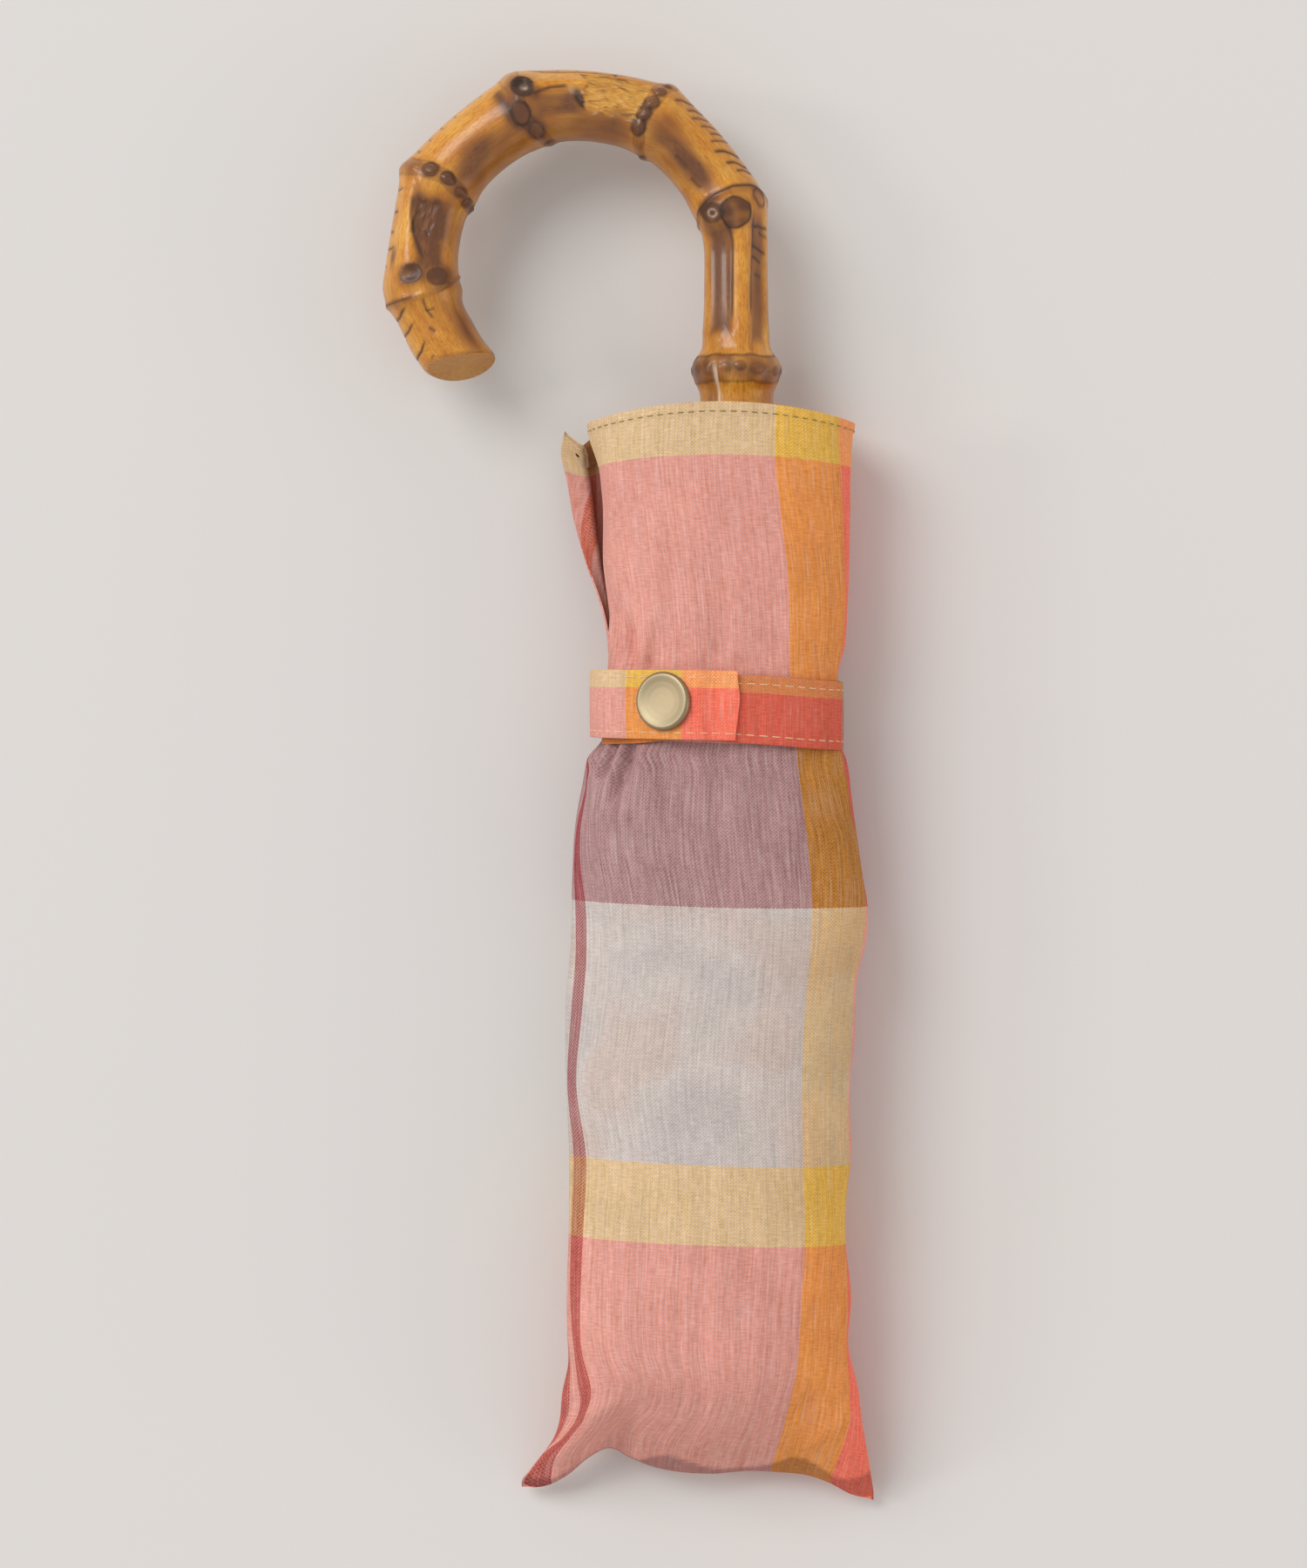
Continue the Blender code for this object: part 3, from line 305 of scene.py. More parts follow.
    # painted shade: the seam's turned-in edge shows as a darker band, shaded where the cloth folds, and the slit's
    # inside and the strap's lower layer get a warm painted shade
    for mark, code in (("turnedIn", "#BABCC6"), ("inside", "#A2756A")):
        paintedShade = addNode(tree, "Attribute", {"attribute_name": mark}).outputs["Fac"]
        shown = addNode(tree, "Mix", {"data_type": "RGBA", "blend_type": "MULTIPLY", 0: paintedShade, 6: shown,
                                      7: linear(code)})
    # threads stand out of the surface by a twentieth of a millimetre
    relief = addNode(tree, "Math", {"operation": "MULTIPLY_ADD", 0: weave, 1: 0.35, 2: pattern["warpThread"]})
    bump = addNode(tree, "Bump", {"Strength": 0.35, "Distance": 0.00012, "Height": relief})
    fill(tree, shader, {"Base Color": shown, "Normal": bump, "Roughness": 0.88, "Specular IOR Level": 0.2})
    return made


# polyester sewing thread: two plies twisted, a soft gleam
def makeThread(name, code):
    made, tree, shader = startMaterial(name)
    spot = addNode(tree, "TexCoord", {})
    ply = addNode(tree, "TexNoise", {"Scale": 1400.0, "Detail": 1.0, "Vector": spot.outputs["Object"]})
    shade = addNode(tree, "MapRange", {"To Min": 0.75, "To Max": 1.2, "Value": ply})
    base = addNode(tree, "VectorMath", {"operation": "SCALE", 0: linear(code)[:3], "Scale": shade})
    bump = addNode(tree, "Bump", {"Strength": 0.4, "Distance": 0.0001, "Height": ply})
    fill(tree, shader, {"Base Color": base, "Normal": bump, "Roughness": 0.6})
    return made


# root bamboo, steamed round a former, flamed and lacquered: honey skin, burnt knots and hollows, a clear gloss
def makeBamboo():
    made, tree, shader = startMaterial("lacqueredRootBamboo")
    cane = addNode(tree, "UVMap", {"uv_map": "cane"})
    burn, dark, pale, gleam = (addNode(tree, "Attribute", {"attribute_name": mark}).outputs["Fac"]
                               for mark in ("burn", "dark", "pale", "gleam"))
    # fibres run along the cane, 30 by 0.45 mm; clouds of colour; flecks, short dark strokes of 2 by 0.6 mm
    patterns = []
    for along, across, detail, roughness in ((30.0, 0.45, 4.0, 0.6), (14.0, 6.0, 3.0, 0.55), (1.8, 0.6, 5.0, 0.7)):
        spot = addNode(tree, "VectorMath", {"operation": "MULTIPLY", 0: cane, 1: (1 / along, 1 / across, 0.0)})
        patterns.append(addNode(tree, "TexNoise", {"Scale": 1.0, "Detail": detail, "Roughness": roughness,
                                                   "Vector": spot}))
    fibre, cloud, fleck = patterns
    skinStops = [(0.30, "#BA741D"), (0.45, "#D28E2C"), (0.58, "#DFA13C"), (0.75, "#E8B258")]
    skin = addNode(tree, "ValToRGB", {"stops": skinStops, "Fac": cloud})
    grainSum = addNode(tree, "Math", {"operation": "MULTIPLY_ADD", 0: fibre, 1: 0.45, 2: fleck})
    grainStops = [(0.52, "#B98A50"), (0.66, "#E8CFA6"), (0.80, "#FFFFFF")]
    grain = addNode(tree, "ValToRGB", {"stops": grainStops, "Fac": grainSum})
    grained = addNode(tree, "Mix", {"data_type": "RGBA", "blend_type": "MULTIPLY", 0: 0.7, 6: skin, 7: grain})
    # torn places: bare pale fibre
    tornStops = [(0.34, "#B0752A"), (0.48, "#CB923C"), (0.66, "#DCAC58")]
    torn = addNode(tree, "ValToRGB", {"stops": tornStops, "Fac": fleck})
    bare = addNode(tree, "Mix", {"data_type": "RGBA", 0: pale, 6: grained, 7: torn})
    # the flame leaves brown clouds, darker where it lay longer; the same brown also carries the painted shade inside
    # the bend and beside the eye
    flicker = addNode(tree, "MapRange", {"From Min": 0.3, "From Max": 0.7, "To Min": 0.9, "To Max": 1.1,
                                         "Value": fleck})
    burnAndShadeShare = addNode(tree, "Math", {"operation": "MULTIPLY", "use_clamp": True, 0: burn, 1: flicker})
    brownStops = [(0.0, "#AE6C24"), (0.50, "#8E5321"), (1.0, "#6A3E21")]
    brown = addNode(tree, "ValToRGB", {"stops": brownStops, "Fac": burnAndShadeShare})
    flamed = addNode(tree, "Mix", {"data_type": "RGBA", 0: burnAndShadeShare, 6: bare, 7: brown})
    # soot and scars, with the buds' painted shadow and the painted shade beside the eye among them
    darkStops = [(0.30, "#24140B"), (0.70, "#4E301C")]
    sootAndShadow = addNode(tree, "ValToRGB", {"stops": darkStops, "Fac": fleck})
    sootyAndShaded = addNode(tree, "Mix", {"data_type": "RGBA", 0: dark, 6: flamed, 7: sootAndShadow})
    # painted highlights on the lacquer, and one small chip of bare lacquer, are mixed towards near white
    final = addNode(tree, "Mix", {"data_type": "RGBA", 0: gleam, 6: sootyAndShaded, 7: linear("#EAD3B8")})
    # lacquer lies thin on torn fibre and in the scars
    dull = addNode(tree, "Math", {"operation": "MAXIMUM", 0: pale, 1: dark})
    gloss = addNode(tree, "MapRange", {"To Min": 0.33, "To Max": 0.6, "Value": dull})
    coat = addNode(tree, "MapRange", {"To Min": 0.32, "To Max": 0.05, "Value": dull})
    bump = addNode(tree, "Bump", {"Strength": 0.35, "Distance": 0.00014, "Height": grainSum})
    fill(tree, shader, {"Base Color": final, "Roughness": gloss, "Coat Weight": coat, "Normal": bump,
                        "Specular IOR Level": 0.4, "Coat Roughness": 0.16})
    return made


# the crook, measured along its middle line from the foot in the collar; angles run round the cane,
# 0 towards the front, 90 on the outside of the bend
bambooCrook = {
    "footY": 128.0, "height": 21.3, "leg": 50.6, "bend": 41.4, "sweep": 222.0, "flattening": 1.1,
    "bendNodes": (18, 61, 109, 153, 188), "endTilt": 20.0, "endSkew": 25.0, "endFace": 9.0,
    "segments": 148, "rings": 640,
    "skin": 9.0,              # mean radius, which turns an angle into mm on the skin
    # the front has more columns than the back
    "columnPlaces": ((0.0, -180.0), (0.11, -108.0), (0.89, 108.0), (1.0, 180.0)),
    # thickness of the cane, as (length, radius)
    "radius": (
        (0, 9.2), (13, 9.4), (17.5, 9.8), (19.6, 10.8), (25.2, 10.9), (27.2, 9.4), (33, 8.7), (45, 8.3), (55, 8.4),
        (60, 8.8), (64, 9.4), (68.5, 9.3), (73, 8.9), (82, 8.8), (90, 9.2), (94.7, 10.0), (99, 9.5), (108, 9.1),
        (117, 9.1), (124, 9.5), (129.4, 10.3), (134, 9.8), (146, 9.4), (155, 9.8), (160, 10.5), (165, 9.5),
        (173, 9.0), (181, 9.3), (186, 9.9), (190.5, 9.9), (193, 9.1), (202, 8.8), (209, 8.4), (216, 8.2),
    ),
    # knots, as (angle, length) round the cane, then the ridge's height, half width, burn and dark edge
    "knots": (
        (((-180, 62), (-90, 62.4), (-49, 66.6), (-13, 68.4), (17, 68.3), (57, 66.6), (76, 65.0), (100, 62.5),
          (180, 62)),
         0.45, 0.9, 0.20, 0.10),
        (((-180, 93.5), (-85, 93.2), (-49, 96.2), (-23, 97.9), (0, 98.1), (19, 97.6), (42, 97.2), (60, 96.4),
          (95, 95.4),
          (180, 93.5)), 0.50, 1.5, 0.28, 0.26),
        (((-180, 127), (-90, 125.4), (-60, 126.8), (-37, 128.9), (-1, 131.4), (33, 130.4), (60, 131.0), (95, 131.0),
          (180, 127)), 0.50, 1.7, 0.28, 0.28),
        (((-180, 161.5), (-90, 162.2), (-59, 161.1), (-36, 159.4), (-9, 158.0), (19, 158.4), (46, 159.4),
          (95, 160.4),
          (180, 161.5)), 0.55, 1.6, 0.30, 0.26),
        (((-180, 188), (-90, 186.0), (-40, 188.6), (3, 189.9), (42, 190.2), (95, 190.0),
          (180, 188)), 0.50, 0.8, 0.14, 0.05),
    ),
    # branch scars: length, angle, half length, half width, mound, depth, burn, dark, outline
    "scars": (
        (62.6, 4, 3.8, 3.6, 0.75, 0.40, 0.80, 0.26, 0.95), (64.6, -32, 2.9, 3.0, 0.55, 0.35, 0.85, 0.30, 0.60),
        (64.5, 54, 2.1, 1.9, 0.20, 0.10, 0.40, 0.05, 0.60),
        (128.8, 30, 2.7, 3.0, 1.10, 1.60, 1.00, 0.92, 0.35), (131.4, -6, 2.6, 2.5, 0.60, 0.40, 0.70, 0.22, 0.80),
        (128.9, -37, 2.3, 2.2, 0.30, 0.15, 0.40, 0.0, 0.55),
        (184.2, 13, 2.6, 2.9, 0.70, 0.70, 0.85, 0.42, 0.35), (185.6, -28, 2.9, 3.0, 0.30, 0.40, 0.72, 0.26, 0.15),
        (116.5, -150, 2.6, 2.6, 0.4, 0.7, 0.7, 0.4, 0.5), (64, 150, 2.8, 2.8, 0.4, 0.7, 0.7, 0.4, 0.5),
        (160, 150, 2.4, 2.4, 0.4, 0.6, 0.7, 0.4, 0.5),
    ),
    # root buds: length, angle, radius, height, dark
    "buds": (
        (96.3, 61, 1.0, 0.40, 0.8), (97.3, 42, 1.5, 0.60, 0.8), (97.7, 19, 1.7, 0.60, 0.8),
        (98.3, -1, 1.8, 0.60, 0.9),
        (98.2, -24, 2.0, 0.60, 0.9), (159.4, 46, 1.9, 0.25, 0.25), (158.3, 19, 1.8, 0.60, 0.9),
        (157.9, -9, 1.7, 0.60, 1.0),
        (159.4, -36, 1.6, 0.50, 0.6), (161.1, -59, 1.7, 0.45, 0.8), (162.0, -82, 1.5, 0.4, 0.8),
        (93.6, -80, 1.4, 0.3, 0.7),
        (126.2, -72, 1.5, 0.3, 0.6),
        (23.0, -63, 1.4, 0.25, 0.15), (22.4, -39, 1.6, 0.25, 0.15), (23.0, -16, 1.3, 0.25, 0.12),
        (23.2, 4, 1.2, 0.30, 0.45),
        (22.5, 28, 1.7, 0.25, 0.20), (22.8, 47, 1.2, 0.25, 0.15), (22.2, 62, 1.3, 0.30, 0.45),
        (22.5, 88, 1.6, 0.3, 0.4),
        (22.8, 120, 1.6, 0.3, 0.4), (22.3, 152, 1.6, 0.3, 0.4), (22.6, -152, 1.6, 0.3, 0.4),
        (22.9, -120, 1.6, 0.3, 0.4),
        (22.4, -90, 1.6, 0.3, 0.4),
    ),
    # hollows: from, to, angle at each end, half width in degrees, depth, burn
    "hollows": (
        (31.5, 60.5, -33, -35, 24, 0.95, 0.86), (29.0, 61.5, 41, 45, 16, 0.70, 0.66),
        (30.0, 59.5, 84, 88, 14, 0.3, 0.30),
        (164.0, 183.0, 9, -18, 22, 0.80, 0.74), (116.0, 128.4, 1, -2, 20, 0.50, 0.60),
        (33.0, 58.0, -150, -150, 15, 0.7, 0.6), (70.0, 90.0, 160, 160, 15, 0.5, 0.5),
        (165.0, 183.0, 170, 170, 16, 0.6, 0.5),
    ),
    # the slit in the foot, as (from, to, angle, half width in degrees, depth)
    "slit": (-2.0, 24.0, -32, 5.0, 0.9),
    # raised runs between the hollows
    "runs": ((28.0, 63.0, 9, 9, 14, 0.75), (112.0, 127.0, 36, 32, 10, 0.70), (163.0, 183.0, 42, 22, 15, 0.75)),
    # brown clouds: length, angle, half length, half width in mm, strength
    "clouds": (
        (81.0, -15, 7.0, 2.4, 0.66), (91.0, -8, 5.0, 4.6, 0.44), (74.5, -16, 5.0, 2.0, 0.45),
        (84.0, -25, 10.0, 4.0, 0.30),
        (147.0, -6, 6.5, 2.0, 0.45), (145.0, -26, 12.0, 4.6, 0.42), (153.0, -30, 5.0, 3.5, 0.25),
        (116.8, 6, 3.0, 3.0, 0.40),
        (113.0, -36, 13.0, 6.0, 0.36), (104.0, -28, 6.0, 3.5, 0.22), (134.2, 20, 1.6, 4.4, 0.36),
        (133.6, -10, 1.6, 2.4, 0.30), (172.0, -26, 9.0, 3.6, 0.36),
        (166.4, 21, 2.2, 1.8, 0.40), (173.8, 2, 1.6, 2.4, 0.40), (179.8, 53, 2.4, 1.3, 0.60),
        (28.5, -4, 1.6, 6.0, 0.20),
        (14.0, -45, 8.0, 1.5, 0.45), (61.5, -56, 3.0, 3.0, 0.40), (186.0, -44, 3.5, 3.0, 0.40),
        (68.6, -32, 1.0, 3.0, 0.30),
        (203.0, -44, 9.0, 2.0, 0.40), (110.0, 170, 9.0, 4.0, 0.6), (45.0, 175, 9.0, 4.0, 0.5),
        (140.0, -160, 8.0, 4.0, 0.6),
    ),
    # torn skin: from, to, lowest and highest angle, how pale and how burnt
    "torn": ((99.6, 114.2, -17, 54, 0.80, -0.15), (165.6, 173.6, -11, 20, 0.30, 0.08)),
    # painted highlights, and one small chip: length, angle, radius, how far from its middle it shines, strength
    "gleams": (
        (128.5, 29, 1.0, 0.0, 0.66), (64.5, -31, 1.1, 1.0, 0.42), (98.8, -14, 0.6, 0.0, 0.5),
        (117.2, 20, 1.3, 0.0, 0.34),
    ),
    # lines cut or drawn on the skin: half width in mm, dark, burn, depth, then the line as (length, angle)
    "strokes": (
        (0.28, 0.75, 0.20, 0.18, ((93.5, 39), (92.2, 53), (90.4, 65), (88.6, 92))),
        (0.28, 0.70, 0.20, 0.18, ((90.0, 43), (88.6, 60), (87.0, 73), (86.0, 96))),
        (0.25, 0.60, 0.20, 0.16, ((88.1, 37), (86.7, 53), (85.2, 67), (84.6, 80))),
        (0.25, 0.60, 0.20, 0.16, ((85.3, 40), (84.1, 55), (82.8, 69), (82.2, 82))),
        (0.28, 0.70, 0.20, 0.18, ((82.6, 44), (81.5, 62), (80.1, 84), (79.8, 98))),
        (0.28, 0.65, 0.20, 0.18, ((81.2, 33), (80.0, 52), (78.8, 73), (78.4, 88))),
        (0.34, 0.90, 0.25, 0.22, ((78.8, 24), (77.4, 46), (74.9, 69), (73.8, 96))),
        (0.32, 0.85, 0.25, 0.20, ((74.9, 29), (74.0, 50), (72.1, 66), (71.4, 92))),
        (0.30, 0.75, 0.20, 0.18, ((72.1, 38), (71.5, 56), (70.4, 68), (70.0, 92))),
        (0.32, 0.90, 0.22, 0.15, ((65.0, -66), (67.1, -49), (69.1, -13), (69.0, 17), (67.1, 57), (65.3, 76),
                                  (61.9, 106))),
        (0.32, 0.65, 0.30, 0.12, ((127.4, 14), (125.2, 20), (122.3, 25), (117.6, 27))),
        (0.26, 0.55, 0.20, 0.18, ((128.2, 78), (124.1, 66), (120.4, 62), (115.7, 64), (110.9, 64), (104.0, 68))),
        (0.24, 0.50, 0.15, 0.15, ((124.6, 66), (125.0, 108))),
        (0.24, 0.50, 0.15, 0.15, ((120.4, 63), (120.9, 108))),
        (0.24, 0.50, 0.15, 0.15, ((116.2, 64), (116.6, 108))),
        (0.24, 0.50, 0.15, 0.15, ((112.0, 64), (112.5, 108))),
        (0.28, 0.65, 0.20, 0.18, ((107.6, 58), (108.4, 108))),
        (0.24, 0.50, 0.15, 0.15, ((103.4, 66), (104.0, 108))),
        (0.30, 0.40, 0.20, 0.10, ((85.2, -26), (82.1, -26), (79.2, -25))),
        (0.30, 0.40, 0.20, 0.10, ((77.2, -33), (73.7, -31), (72.0, -26))),
        (0.40, 0.60, 0.35, 0.15, ((62.5, -18), (58.5, -10), (55.6, -8), (44.1, -9), (33.0, -9))),
        (0.36, 0.45, 0.30, 0.15, ((62.2, 39), (58.5, 30), (52.9, 28), (44.1, 26), (34.0, 25))),
        (0.32, 0.70, 0.20, 0.20, ((58.5, 28), (58.4, 46), (57.2, 78))),
        (0.32, 0.70, 0.20, 0.20, ((54.2, 26), (53.5, 40), (52.0, 66))),
        (0.32, 0.65, 0.20, 0.20, ((51.5, 28), (51.1, 39), (49.8, 54))),
        (0.30, 0.50, 0.20, 0.20, ((57.2, 45), (55.2, 72))),
        (0.26, 0.40, 0.20, 0.15, ((47.2, 34), (46.4, 54))),
        (0.36, 0.60, 0.35, 0.15, ((164.4, 31), (166.1, 29), (169.8, 26), (174.3, 17), (178.6, 2), (181.6, -8))),
        (0.80, 0.22, 0.45, 0.10, ((163.2, -12), (167.7, -19), (172.0, -21), (176.0, -23))),
        (0.30, 0.65, 0.15, 0.15, ((189.7, 104), (190.1, 66), (190.0, 41), (190.0, 23), (189.4, 4))),
        (0.26, 0.60, 0.25, 0.15, ((170.3, 104), (169.7, 53))),
        (0.26, 0.60, 0.25, 0.15, ((174.8, 104), (174.2, 59))),
        (0.26, 0.60, 0.25, 0.15, ((178.8, 104), (177.7, 50))),
        (0.24, 0.50, 0.25, 0.15, ((166.1, 104), (164.4, 48))),
        (0.24, 0.50, 0.25, 0.15, ((182.4, 104), (181.8, 70))),
        (0.30, 0.80, 0.15, 0.20, ((194.3, 108), (193.4, 59), (191.4, 30))),
        (0.30, 0.80, 0.15, 0.20, ((198.1, 108), (197.1, 55), (195.4, 30))),
        (0.30, 0.80, 0.15, 0.20, ((204.0, 108), (202.4, 48), (200.3, 25))),
        (0.24, 0.40, 0.15, 0.15, ((205.2, 41), (204.7, 29))),
        (0.26, 0.55, 0.25, 0.15, ((190.5, 2), (193.9, 4), (197.1, -3))),
        (0.24, 0.45, 0.20, 0.10, ((194.1, 5), (194.2, -11))),
        (0.30, 0.50, 0.30, 0.12, ((198.2, 13), (200.2, 5))),
        (0.24, 0.45, 0.15, 0.15, ((138.7, 108), (138.0, 65))),
        (0.24, 0.45, 0.15, 0.15, ((142.0, 108), (141.5, 66))),
        (0.24, 0.50, 0.15, 0.15, ((145.6, 108), (145.1, 58))),
        (0.24, 0.45, 0.15, 0.15, ((149.3, 108), (148.9, 56))),
        (0.24, 0.45, 0.15, 0.15, ((152.8, 108), (152.5, 56))),
        (0.24, 0.45, 0.15, 0.15, ((156.2, 108), (155.9, 54))),
        (0.24, 0.40, 0.15, 0.15, ((135.5, 108), (134.7, 74))),
        # painted shade: a brown band in the groove on the left side of the eye's mound
        (0.80, 0.32, 0.45, 0.10, ((134.8, 52), (134.5, 28), (134.0, 6), (133.2, -10))),
    ),
}


def crookBend(degrees):
    look = bambooCrook
    corners = (look["bendNodes"][0] - 60, *look["bendNodes"], look["sweep"] + 20)
    radius = np.full_like(degrees, look["bend"])
    for low, high in zip(corners, corners[1:]):
        share = (degrees - low) / (high - low)
        inside = (degrees > low) & (degrees <= high)
        radius = np.where(inside, look["bend"] - look["flattening"] * 4 * share * (1 - share), radius)
    return radius


def crookLine(length):
    look = bambooCrook
    angle = np.maximum(length - look["leg"], 0.0) / look["bend"]
    radius = crookBend(np.degrees(angle))
    start = crookBend(np.zeros(1))[0]
    onLeg = length <= look["leg"]
    x = np.where(onLeg, 0.0, radius * np.cos(angle) - start)
    y = look["footY"] + np.where(onLeg, length, look["leg"] + radius * np.sin(angle))
    return x, y, angle


def onSkin(degrees):
    # an angle round the cane, as mm on its skin
    return np.radians(degrees) * bambooCrook["skin"]


def nearStroke(length, side, path):
    # distance from a line on the skin, and the share of the line passed there
    spots = [(place, onSkin(angle)) for place, angle in path]
    runs = [math.hypot(to[0] - start[0], to[1] - start[1]) for start, to in zip(spots, spots[1:])]
    nearest = np.full_like(length, 99.0)
    passed = np.zeros_like(length)
    done = 0.0
    for start, to, run in zip(spots, spots[1:], runs):
        off, share = besideLine(length, side, *start, *to)
        passed = np.where(off < nearest, (done + share * run) / sum(runs), passed)
        nearest = np.minimum(nearest, off)
        done += run
    return nearest, passed


def caneShape(length, degrees):
    # radius of the cane in mm, and how burnt, dark, torn and light it is there
    look = bambooCrook
    radius = track(look["radius"])(length) + 0.10 * ripple(length * 0.11, degrees * 0.03, 3)
    burn = 0.03 + 0.06 * ripple(length * 0.16, degrees * 0.05, 8)
    dark = np.zeros_like(length)
    pale = np.zeros_like(length)
    gleam = np.zeros_like(length)
    side = onSkin(degrees)

    def sideways(angle):
        return onSkin((degrees - angle + 180) % 360 - 180)

    # painted shade: the inside of the bend is browner, most along the top arc and near the end
    inner = 0.10 + 0.14 * ease(96, 104, length) * ease(160, 150, length) + 0.10 * ease(186, 194, length)
    burn += (inner * ease(4, -34, degrees) + 0.12 * ease(-40, -90, degrees)) * ease(-180, -120, degrees)
    burn += 0.06 * ease(150, 166, length) + 0.07 * ease(70, 76, length) * ease(97, 90, length)
    burn += 0.05 * ripple(length * 0.45, side * 0.5, 17) + 0.04 * ripple(length * 0.2, side * 1.6, 18)
    for path, height, half, char, edge in look["knots"]:
        off = length - track(path)(degrees) - 0.25 * ripple(degrees * 0.09, degrees * 0.0, 5)
        radius += height * np.exp(-(off / half) ** 2)
        burn += char * np.exp(-(off / (half * 1.1)) ** 4)
        dark += edge * np.exp(-((np.abs(off) - half * 1.2) / 0.30) ** 2)
    # the foot's ring
    ringEdge = 0.35 * ripple(degrees * 0.1, degrees * 0.0, 2)
    onRing = ease(18.8, 19.5, length - ringEdge) * ease(26.3, 25.6, length - ringEdge)
    burn += onRing * (0.44 + 0.16 * ripple(length * 0.7, side * 0.55, 19))
    dark += 0.30 * onRing * ease(0.2, 0.9, ripple(length * 0.35, side * 0.9, 20))
    dark += 0.65 * np.exp(-((length - 26.0 - ringEdge) / 0.32) ** 2)
    dark += 0.40 * np.exp(-((length - 19.1 - ringEdge) / 0.30) ** 2)
    for place, angle, size, height, ink in look["buds"]:
        far = np.hypot(length - place, sideways(angle)) / size
        far = far * (1 + 0.08 * ripple(length * 1.1, side * 1.1, place + angle))
        radius += height * (1 - ease(0.25, 1.0, far)) - 0.4 * height * np.exp(-(far / 0.3) ** 2)
        burn += 0.50 * ink * (1 - ease(0.9, 1.2, far))
        # painted shadow: each bud's dark rim is heavier on its side towards the foot
        shadow = 0.60 + 0.40 * ease(0.5, -1.0, (length - place) / size)
        rim = 0.60 * shadow * np.exp(-((far - 0.98) / 0.24) ** 2)
        dark += ink * (rim + 0.28 * np.exp(-((far - 0.35) / 0.18) ** 2))
    for start, end, first, last, half, depth, char in look["hollows"]:
        share = np.clip((length - start) / (end - start), 0.0, 1.0)
        off = np.abs(sideways(first + (last - first) * share)) / onSkin(half)
        inside = ease(start - 1.5, start + 3.0, length + 2.0 * off ** 2) * ease(end + 1.5, end - 2.5, length)
        radius -= depth * inside * np.exp(-off ** 4)
        edge = 0.88 + 0.12 * ripple(length * 0.2, degrees * 0.1, 6)
        burn += char * inside * np.exp(-off ** 5) * edge
    start, end, angle, half, depth = look["slit"]
    off = sideways(angle) / onSkin(half)
    inside = ease(end + 1.0, end - 2.0, length)
    radius -= depth * inside * np.exp(-off ** 4)
    # a painted highlight along the slit
    gleam += 0.72 * inside * np.exp(-((off - 0.2) / 0.75) ** 4)
    for start, end, first, last, half, height in look["runs"]:
        share = np.clip((length - start) / (end - start), 0.0, 1.0)
        off = sideways(first + (last - first) * share) / onSkin(half)
        inside = ease(start - 2, start + 3, length) * ease(end + 2, end - 3, length)
        radius += height * inside * np.exp(-off ** 2)
        burn -= 0.22 * inside * np.exp(-off ** 2)
    for place, angle, half, wide, strength in look["clouds"]:
        far = np.hypot((length - place) / half, sideways(angle) / wide)
        uneven = 0.92 + 0.12 * ripple(length * 0.3, side * 0.6, 4)
        burn += strength * np.exp(-far ** 2) * uneven
    for start, end, low, high, bare, char in look["torn"]:
        inside = ease(start - 0.5, start + 0.3, length + 0.7 * ripple(side * 1.2, length * 0.2, 7))
        inside = inside * ease(end + 0.5, end - 0.3, length + 0.9 * ripple(side * 1.4, length * 0.3, 9))
        inside = inside * ease(low - 3, low + 3, degrees + 2 * np.sin(length * 1.3))
        inside = inside * ease(high + 5, high - 3, degrees)
        fibres = ripple(length * 0.55 + 1.4 * np.sin(side * 0.7), side * 2.6 + 1.2 * np.sin(length * 0.8), 12)
        radius += inside * (0.10 * fibres + 0.12 * ripple(length * 0.5, side * 1.3, 11) - 0.40)
        pale += bare * inside
        burn += inside * (0.25 * ripple(length * 0.35, side * 0.6, 14) + char)
        dark += 0.42 * inside * ease(0.35, 0.95, fibres)
        edge = inside * (1 - inside) * 4
        dark += 0.45 * edge * ease(-0.3, 0.6, ripple(length * 0.6, side * 0.8, 13))
    # the dark nick at the torn skin's end
    nick = np.hypot((length - 115.6 - 0.3 * sideways(6)) / 1.2, sideways(6) / 2.6)
    dark += 0.95 * np.exp(-nick ** 4)
    radius -= 0.6 * np.exp(-nick ** 2)
    for place, angle, alongHalf, acrossHalf, mound, depth, char, ink, outline in look["scars"]:
        far = np.hypot((length - place) / alongHalf, sideways(angle) / acrossHalf)
        far = far * (1 + 0.05 * ripple(length * 0.9, side * 0.9, place))
        inside = 1 - ease(0.82, 1.02, far)
        radius += mound * np.exp(-(far / 1.5) ** 2) - depth * (1 - ease(0.2, 0.95, far))
        mottle = 0.88 + 0.28 * ripple(length * 0.8, side * 0.9, place + 2)
        pale *= 1 - inside
        burn += char * inside * mottle + 0.20 * np.exp(-((far - 1.25) / 0.30) ** 2)
        dark += ink * inside * mottle + outline * np.exp(-((far - 1.0) / (0.40 / alongHalf)) ** 2)
    for place, angle, size, ring, strength in look["gleams"]:
        far = np.hypot(length - place, sideways(angle)) / size
        shine = np.exp(-((far - ring) / (0.30 if ring else 0.70)) ** 2)
        gleam += strength * shine * (0.8 + 0.4 * ripple(length * 2.2, side * 2.4, 15))
    for half, ink, char, depth, path in look["strokes"]:
        places = [place for place, angle in path]
        near = (length > min(places) - 4) & (length < max(places) + 4) & (np.abs(degrees) < 125)
        off, passed = nearStroke(length[near], side[near], path)
        taper = ease(0.0, 0.15, passed) * ease(1.0, 0.80, passed)
        line = taper * np.exp(-(off / half) ** 2)
        radius[near] -= depth * line
        burn[near] += char * taper * np.exp(-(off / (half * 2.6)) ** 2)
        dark[near] += ink * line
    burn, dark, pale, gleam = (np.clip(part, 0, 1) for part in (burn, dark, pale, gleam))
